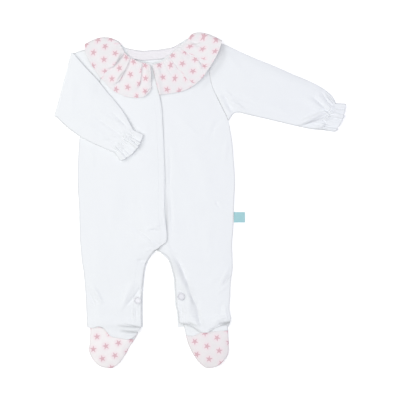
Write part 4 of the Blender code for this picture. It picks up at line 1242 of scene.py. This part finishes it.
def folded(places, folds, count, out):
    """Height and lean of the folds, each column's straight one and tucked cloth, and what is steep."""
    bounds = [0.0, *[fold[0] for fold in folds], count - 1.0]
    height, lean = np.zeros((2, len(out), len(places)))
    straight = np.zeros(len(places), int)
    tucked = np.zeros(len(places))
    steep = np.zeros(len(places), bool)
    last = (bounds[-1], 0, 0, 1, 0, 0.5)
    for (stop, tall, reach_over, dies, cloth, lies), start in zip([*folds, last], bounds):
        inside = (places >= start) & (places <= stop)
        straight[inside] = np.searchsorted(places, mix(start, stop, lies))
        tucked[places > stop] += cloth
        if stop == bounds[-1]:
            break
        t = ((places[inside] - start) / (stop - start))[None]
        left = 1 - ease(dies - 0.3, dies, out)
        side = mix(DYING_SHARE, STEEP_SHARE, left)
        rise, fall = ease(0.05, 1 - side, t), 1 - ease(1 - side, 1, t)
        height[:, inside] = tall * left * mix(0.5, 1, ease(0, 0.22, out)) * rise**1.3 * fall
        lean[:, inside] = reach_over * left * rise**5 * fall
        steep[inside] |= t[0] > 1 - STEEP_SHARE
    return height, lean, straight, tucked, steep


def bowed(first, middle, last, out):
    """A parabola through three points."""
    return (1 - out) * (1 - 2 * out) * first + 4 * out * (1 - out) * middle + out * (2 * out - 1) * last


def neck_gathers(run, out):
    """Small uneven gathers of the ruffle that die out soon after the neck seam."""
    waves = np.sin(run * 1.25 + 1.1 * np.sin(run * 0.31)) + 0.6 * np.sin(run * 0.71 + 2)
    return 0.3 * waves[None] * np.exp(-out / 0.2) * ease(0, 0.06, out)


def front_ribs(ribs, folds, roll, per_rib):
    """Middle points of the collar on the front, from the shoulder to the front's middle."""
    places = rib_places(len(ribs), folds, per_rib)
    table = spline(ribs, places)
    out = even(COLLAR_ROWS)[:, None]
    plan = np.stack([bowed(table[:, k], table[:, k + 2], table[:, k + 4], out) for k in (0, 1)], -1)
    height, lean, straight, tucked, steep = folded(places, folds, len(ribs), out)
    plan = plan + unit(np.gradient(plan, axis=1)) * lean[..., None]
    x, y = plan[..., 0], plan[..., 1]
    run = np.cumsum(np.linalg.norm(np.diff(plan[4], axis=0, prepend=plan[4][:1]), axis=-1))
    level = collar_bed(x, y) + RUFFLE_WALL / 2 + height + neck_gathers(run, out) + 0.1
    place, half_width, tall = roll
    near_roll = np.exp(-(((places - place) / half_width) ** 2))[None]
    rolled = near_roll * np.sin(math.pi * np.clip(out / 0.66, 0, 1))
    level += tall * rolled + table[:, 6] * out**1.6 + HEM_STEP * ease(HEM_SHARE, HEM_SHARE + 0.012, out)
    level += creased(COLLAR_CREASES, x, y) * ease(0, 0.1, out)
    return np.concatenate([plan, level[..., None]], -1), straight, tucked, steep


def back_ribs(shares):
    """Middle points of the collar under the back; share 0 is at the left shoulder."""
    neck = along(BACK_TOP[1:-1], 1 - shares)
    angle = -np.radians(mix(RUFFLE_SHOULDER, 180 - RUFFLE_SHOULDER, shares))
    across, down = RUFFLE_HALF_WIDTH * np.cos(angle), RUFFLE_DEPTH * np.sin(angle)
    edge = np.array(RUFFLE_CENTRE) + np.stack(rotated(across, down, RUFFLE_TILT), -1)
    out = even(COLLAR_ROWS)[:, None, None]
    plan = mix(neck[None], edge[None], out)
    wave = BACK_WAVE * (1 - np.cos(2 * math.pi * BACK_WAVES * shares)) / 2
    return np.concatenate([plan, RUFFLE_WALL / 2 + wave[None, :, None] * out], -1)


def shoulder_ribs(front, fold, back, steps):
    """Ribs that carry the collar round a shoulder, from the front on top to the back below."""
    turned = math.pi * np.arange(1, steps)[None, :, None] / steps
    near = np.where(turned <= math.pi / 2, front[:, None, :2], back[:, None, :2])
    plan = mix(near, fold[:, None, :2], np.sin(turned))
    high, low = front[:, None, 2:], back[:, None, 2:]
    return np.concatenate([plan, (high + low) / 2 + (high - low) / 2 * np.cos(turned)], -1)


def fold_rib(rib):
    """Middle points of one rib, which the cloth turns round at a shoulder."""
    neck, middle, edge = (np.array(rib[k:k + 2]) for k in (0, 2, 4))
    return bowed(neck, middle, edge, even(COLLAR_ROWS)[:, None])


def panel_uv(grid, straight, tucked, steep):
    """Flat coordinates: undistorted beside each panel's straight column, the rest hidden in folds."""
    across, down = arcs(grid)
    flat = across[-1, straight] + tucked + across - across[:, straight]
    columns = np.arange(grid.shape[1])
    for row in flat:
        row[:] = np.interp(columns, columns[~steep], row[~steep])
    from_neck = -down - mix(LEFT_PRINT[1], RIGHT_PRINT[1], flat / flat[-1, -1])
    # The print's rows run down the strip
    return np.stack([from_neck, flat - LEFT_PRINT[0]], -1)


def make_collar():
    """One gathered strip from the left front's edge round under the back to the right's."""
    left = front_ribs(LEFT_RIBS, LEFT_FOLDS, LEFT_ROLL, 46)
    right = front_ribs(RIGHT_RIBS, RIGHT_FOLDS, RIGHT_ROLL, 40)
    back = back_ribs(even(160))
    round_left = shoulder_ribs(left[0][:, -1], fold_rib(LEFT_FOLD_RIB), back[:, 0], 12)
    round_right = shoulder_ribs(right[0][:, 0], fold_rib(RIGHT_FOLD_RIB), back[:, -1], 12)[:, ::-1]
    under = np.concatenate([round_left, back, round_right], 1)
    columns = under.shape[1]
    hidden = left[2][-1] + (RIGHT_PRINT[0] - LEFT_PRINT[0]) * even(columns - 1)
    parts = [
        left, (under, np.arange(columns), hidden, np.zeros(columns, bool)),
        (right[0], right[1], right[2] + hidden[-1], right[3]),
    ]
    starts = np.cumsum([0, *[part[0].shape[1] for part in parts]])
    grid = np.concatenate([part[0] for part in parts], 1)
    straight = np.concatenate([part[1] + start for part, start in zip(parts, starts)])
    tucked, steep = (np.concatenate([part[k] for part in parts]) for k in (2, 3))
    seams = [
        side[0][row][::2] + [0, 0, RUFFLE_WALL / 2]
        for side in (left, right) for row in (NECK_ROW, COLLAR_HEM_ROW)
    ]
    add_stitches("collar", ["collar"], seams)
    # painted shade along the ribs where the collar turns round the shoulders
    painted_shade_rims = [fold_rib(RIGHT_FOLD_RIB), fold_rib(LEFT_FOLD_RIB)]
    flat = panel_uv(grid, straight, tucked, steep)
    return add_cloth(["collar"], grid, RUFFLE, flat, painted_shade_rims, COLLAR_PAINTED_SHADE)


# ---------------------------------------------------------------- feet

TOE_RISE = 30  # length over which a foot rises from its toe
SOLE_PRINT = (7, 4)  # where the print starts on a sole
SEAM_ROW = 1.6  # row of stitches below the ankle seam
# Edges from right to left, toe, ankle seam and the hem over it
FEET = {
    "right": (RIGHT_FOOT_OUTER, RIGHT_FOOT_INNER, RIGHT_TOE, RIGHT_FOOT_SEAM, RIGHT_HEM_LINE),
    "left": (LEFT_FOOT_INNER, LEFT_FOOT_OUTER, LEFT_TOE, LEFT_FOOT_SEAM, LEFT_HEM_LINE),
}


def floor_level(x, y):
    """The surface that the suit lies on."""
    return np.zeros_like(x)


def below(line, y):
    """The part of an edge under level y, and its point there."""
    return np.vstack([[[x_at(line, y), y]], line[line[:, 1] < y]])


def make_foot(side):
    """Sole, printed upper and plain ankle band of one foot."""
    *edges, toe, seam, hem = FEET[side]
    edges = [smooth(edge) for edge in edges]
    toe_line, seam_line = smooth(toe), smooth(seam)
    toe_y = min(y for x, y in toe)
    cloth = FOOT_PRINTS_LIT_AND_SHADED[side]

    def bed(x, y):
        inside = crown(share_between(*edges, x, y))
        to_toe = np.clip((y - toe_y) / TOE_RISE, 0, 1)
        height = FOOT_LOFT * inside * (1 - (1 - to_toe) ** 3) * (1 - 0.6 * ease(-222, -196, y))
        soft = (softness(x * 1.7, y * 1.7, 4.0) + creased(FOOT_CREASES, x, y)) * inside
        base = PRINT_WALL + GAP + (WALL - PRINT_WALL) * ease(-200, ANKLE_Y, y)
        return base + np.maximum(height + soft * ease(toe_y, toe_y + 12, y), 0)

    sides = [below(edge, ANKLE_Y - GAP) for edge in edges]
    grid = patch([line[0] for line in sides], toe_line, *sides, even(40), even(48))
    sole = lay("sole_" + side, grid, floor_level, cloth, grid + SOLE_PRINT)

    sides = [
        np.vstack([seam_line[[end]], below(edge, seam_line[end][1] - 3)[1:]])
        for edge, end in zip(edges, (0, -1))
    ]
    grid = patch(seam_line, toe_line, *sides, even(44), even(56))
    star_x, star_y, tilt = STARS_FROM[side]
    turned = np.stack(rotated(grid[..., 0] - star_x, grid[..., 1] - star_y, math.radians(tilt)), -1)
    # painted shade along the upper's outline
    upper = lay("foot_upper_" + side, grid, bed, cloth, turned, [*edges, toe_line])
    row = on_cloth(seam_line[1:-1] - [0, SEAM_ROW], bed, PRINT_WALL)
    add_stitches("foot_" + side, ["foot_upper_" + side], [row])

    ends = [x_at(edge, hem_y + BAND_TUCK) for edge, hem_y in zip(edges, (hem[0][1], hem[-1][1]))]
    across = mix(*ends, even(60))
    tucked = np.stack([across, np.maximum(y_at(hem, across), ANKLE_Y) + BAND_TUCK], -1)
    sides = [[tucked[end], seam_line[end]] for end in (0, -1)]
    grid = patch(tucked, seam_line, *sides, even(10), even(60))
    # the band gets painted shade along its edges and under the hem
    return sole, upper, lay("ankle_band_" + side, grid, bed, JERSEY, painted_shade_rims=[*edges, hem])


# ---------------------------------------------------------------- trims

TAPE_SEAMS = (4.2, 10.4)  # grooves along the tape, down from the neck edge
TAPE_GROOVE = 0.7  # half their width
TAPE_BULGE = 0.5  # how far the tape stands off between them
TAPE_ROW = 1.3  # rows of stitches, in from both edges


def make_neck_tape():
    """Tape along the inside of the back neck."""
    edge = [point for point in BACK_TOP if TAPE_ENDS[0] <= point[0] <= TAPE_ENDS[1]]
    line = along(smooth(edge), even(110))
    drops = TAPE_INSET + TAPE_WIDTH * even(42)
    grid = np.stack([line - [0, drop] for drop in drops])

    def bed(x, y):
        down = np.interp(x, line[:, 0], line[:, 1]) - y
        grooves = sum(np.exp(-(((down - seam) / TAPE_GROOVE) ** 2)) for seam in TAPE_SEAMS)
        inside = ease(TAPE_WIDTH + 0.5, TAPE_WIDTH - 2, down)
        return lift(x, y) + WALL + GAP + TAPE_BULGE * (1 - grooves) * inside

    rows = [line[2:-2] - [0, TAPE_INSET + drop] for drop in (TAPE_ROW, TAPE_WIDTH - TAPE_ROW)]
    add_stitches("neck_tape", ["neck_tape"], [on_cloth(row, bed, TAPE_WALL) for row in rows])
    return lay("neck_tape", grid, bed, TAPE)


def circle(place, radius, steps):
    """Points round a place in plan."""
    angle = np.linspace(0, 2 * math.pi, steps, endpoint=False)
    return place[0] + radius * np.cos(angle), place[1] + radius * np.sin(angle)


def make_snap(side, place, bed):
    """A ring snap on a front: a turned profile."""
    node = "snap_" + side
    under = [bed(*circle(place, SNAP_RADIUS, 12)), bed(*np.array(place, float)[:, None])]
    base = max(float(levels.max()) for levels in under) + WALL + GAP
    rings = []
    for radius, height in SNAP_PROFILE:
        level = np.full(SNAP_STEPS, base + height * SNAP_HEIGHT)
        rings.append(np.stack([*circle(place, max(radius * SNAP_RADIUS, MM), SNAP_STEPS), level], -1))
    points = np.vstack(rings)
    faces = grid_faces(len(SNAP_PROFILE), SNAP_STEPS, True)
    return keep(add_mesh("ring_" + node, points, faces, points[:, :2], SNAP_LOOKS[side]), [node], "snap")


TAB_CLEAR = 0.4  # more than a gap beside the seam


def make_side_tab():
    """A folded ribbon loop in the left side seam, pressed flat."""
    start = float(x_at(LEFT_OUTLINE, TAB_Y)) + GAP + TAB_CLEAR
    radius = (TAB_WALL - TAB_LAYER) / 2
    straight = TAB_LENGTH - radius - TAB_LAYER / 2
    middle = TAB_WALL / 2
    turns = np.linspace(-math.pi / 2, math.pi / 2, 9)[1:-1]
    path = [
        *[(start + straight * share, middle - radius) for share in even(10)],
        *[(start + straight + radius * math.cos(a), middle + radius * math.sin(a)) for a in turns],
        *[(start + straight * (1 - share), middle + radius) for share in even(10)],
    ]
    ys = TAB_Y + TAB_HEIGHT / 2 - TAB_HEIGHT * even(20)
    grid = np.array([[(x, y, z) for x, z in path[::-1]] for y in ys])
    return add_cloth(["side_tab"], grid, AQUA, arc_uv(grid))


# ---------------------------------------------------------------- stage

def make_stage():
    bpy.ops.mesh.primitive_plane_add(size=6, location=(0, 0, -0.0003))
    floor = bpy.context.object
    floor.name = "floor"
    pale = Graph("pale floor", Base_Color=(0.92, 0.92, 0.92, 1), Roughness=0.9)
    pale.set("Emission Color", (1, 1, 1, 1))
    pale.set("Emission Strength", 0.22)
    floor.data.materials.append(pale.made)


def add_light(name, place, size, watts, colour=(1, 1, 1)):
    data = bpy.data.lights.new(name, "AREA")
    data.shape = "DISK"
    data.size = size
    data.energy = watts
    data.color = colour
    light = bpy.data.objects.new(name, data)
    light.location = place
    light.rotation_euler = (Vector((0, 0, 0)) - Vector(place)).to_track_quat("-Z", "Y").to_euler()
    bpy.context.scene.collection.objects.link(light)


VIEW_WIDTH = 0.6  # metres across the picture at the cloth
CAMERA_HEIGHT = 2.6
PICTURE_CENTRE = (-0.0004, 0.0004)


def make_camera():
    data = bpy.data.cameras.new("camera")
    data.sensor_width = 36
    data.lens = data.sensor_width * CAMERA_HEIGHT / VIEW_WIDTH
    camera = bpy.data.objects.new("camera", data)
    camera.location = (*PICTURE_CENTRE, CAMERA_HEIGHT + 0.003)
    bpy.context.scene.collection.objects.link(camera)
    bpy.context.scene.camera = camera


def make_world():
    world = bpy.data.worlds.new("studio")
    world.use_nodes = True
    background = world.node_tree.nodes["Background"]
    background.inputs[0].default_value = (0.955, 0.975, 1.0, 1)
    background.inputs[1].default_value = 0.36
    bpy.context.scene.world = world


make_stage()
make_camera()
make_world()
add_light("key", (-1.15, 0.4, 1.55), 1.7, 15.5)
add_light("overhead", (0, 0, 3.0), 1.6, 26)
add_light("fill", (1.0, -0.75, 1.8), 1.8, 7, (0.96, 0.97, 1.0))
add_light("cool fill", (0.62, 0.12, 0.55), 0.5, 0.42, (0.45, 0.42, 1.0))
bpy.context.scene.view_settings.view_transform = "Standard"

back = make_back()
front_right, front_left = make_fronts()
sleeve_left = make_left_sleeve()
sleeve_right = make_right_sleeve()
collar = make_collar()
neck_tape = make_neck_tape()
sole_right, upper_right, band_right = make_foot("right")
sole_left, upper_left, band_left = make_foot("left")
make_snap("right", RIGHT_SNAP, right_front_bed)
make_snap("left", LEFT_SNAP, front_bed)
side_tab = make_side_tab()

# How each cloth lies, what is under it, and its flat cut: width, length and area in mm and mm2
SHEETS = [
    (back, "laid", ["collar"], 237, 435, 85000),
    (front_right, "laid", ["back", "front_left"], 135, 442, 45000),
    (front_left, "laid", ["back"], 135, 443, 44000),
    (sleeve_left, "gathered", ["back"], 250, 232, 33000),
    (sleeve_right, "folded", ["front_right"], 250, 232, 33000),
    (collar, "gathered", ["front_right", "front_left"], 50, 590, 29500),
    (neck_tape, "laid", ["back"], 14, 80, 1120),
    (band_right, "laid", ["sole_right"], 72, 20, 1100),
    (band_left, "laid", ["sole_left"], 68, 20, 1000),
    (upper_right, "laid", ["sole_right"], 71, 63, 2800),
    (upper_left, "laid", ["sole_left"], 65, 57, 2750),
    (sole_right, "laid", [], 75, 62, 3500),
    (sole_left, "laid", [], 67, 62, 3290),
    (side_tab, "folded", [], 15.5, 33, 511),
]
for piece, held, under, width, length, area in SHEETS:
    width * MM
    length * MM
    area * MM * MM
    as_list(under)

bpy.context.view_layer.update()
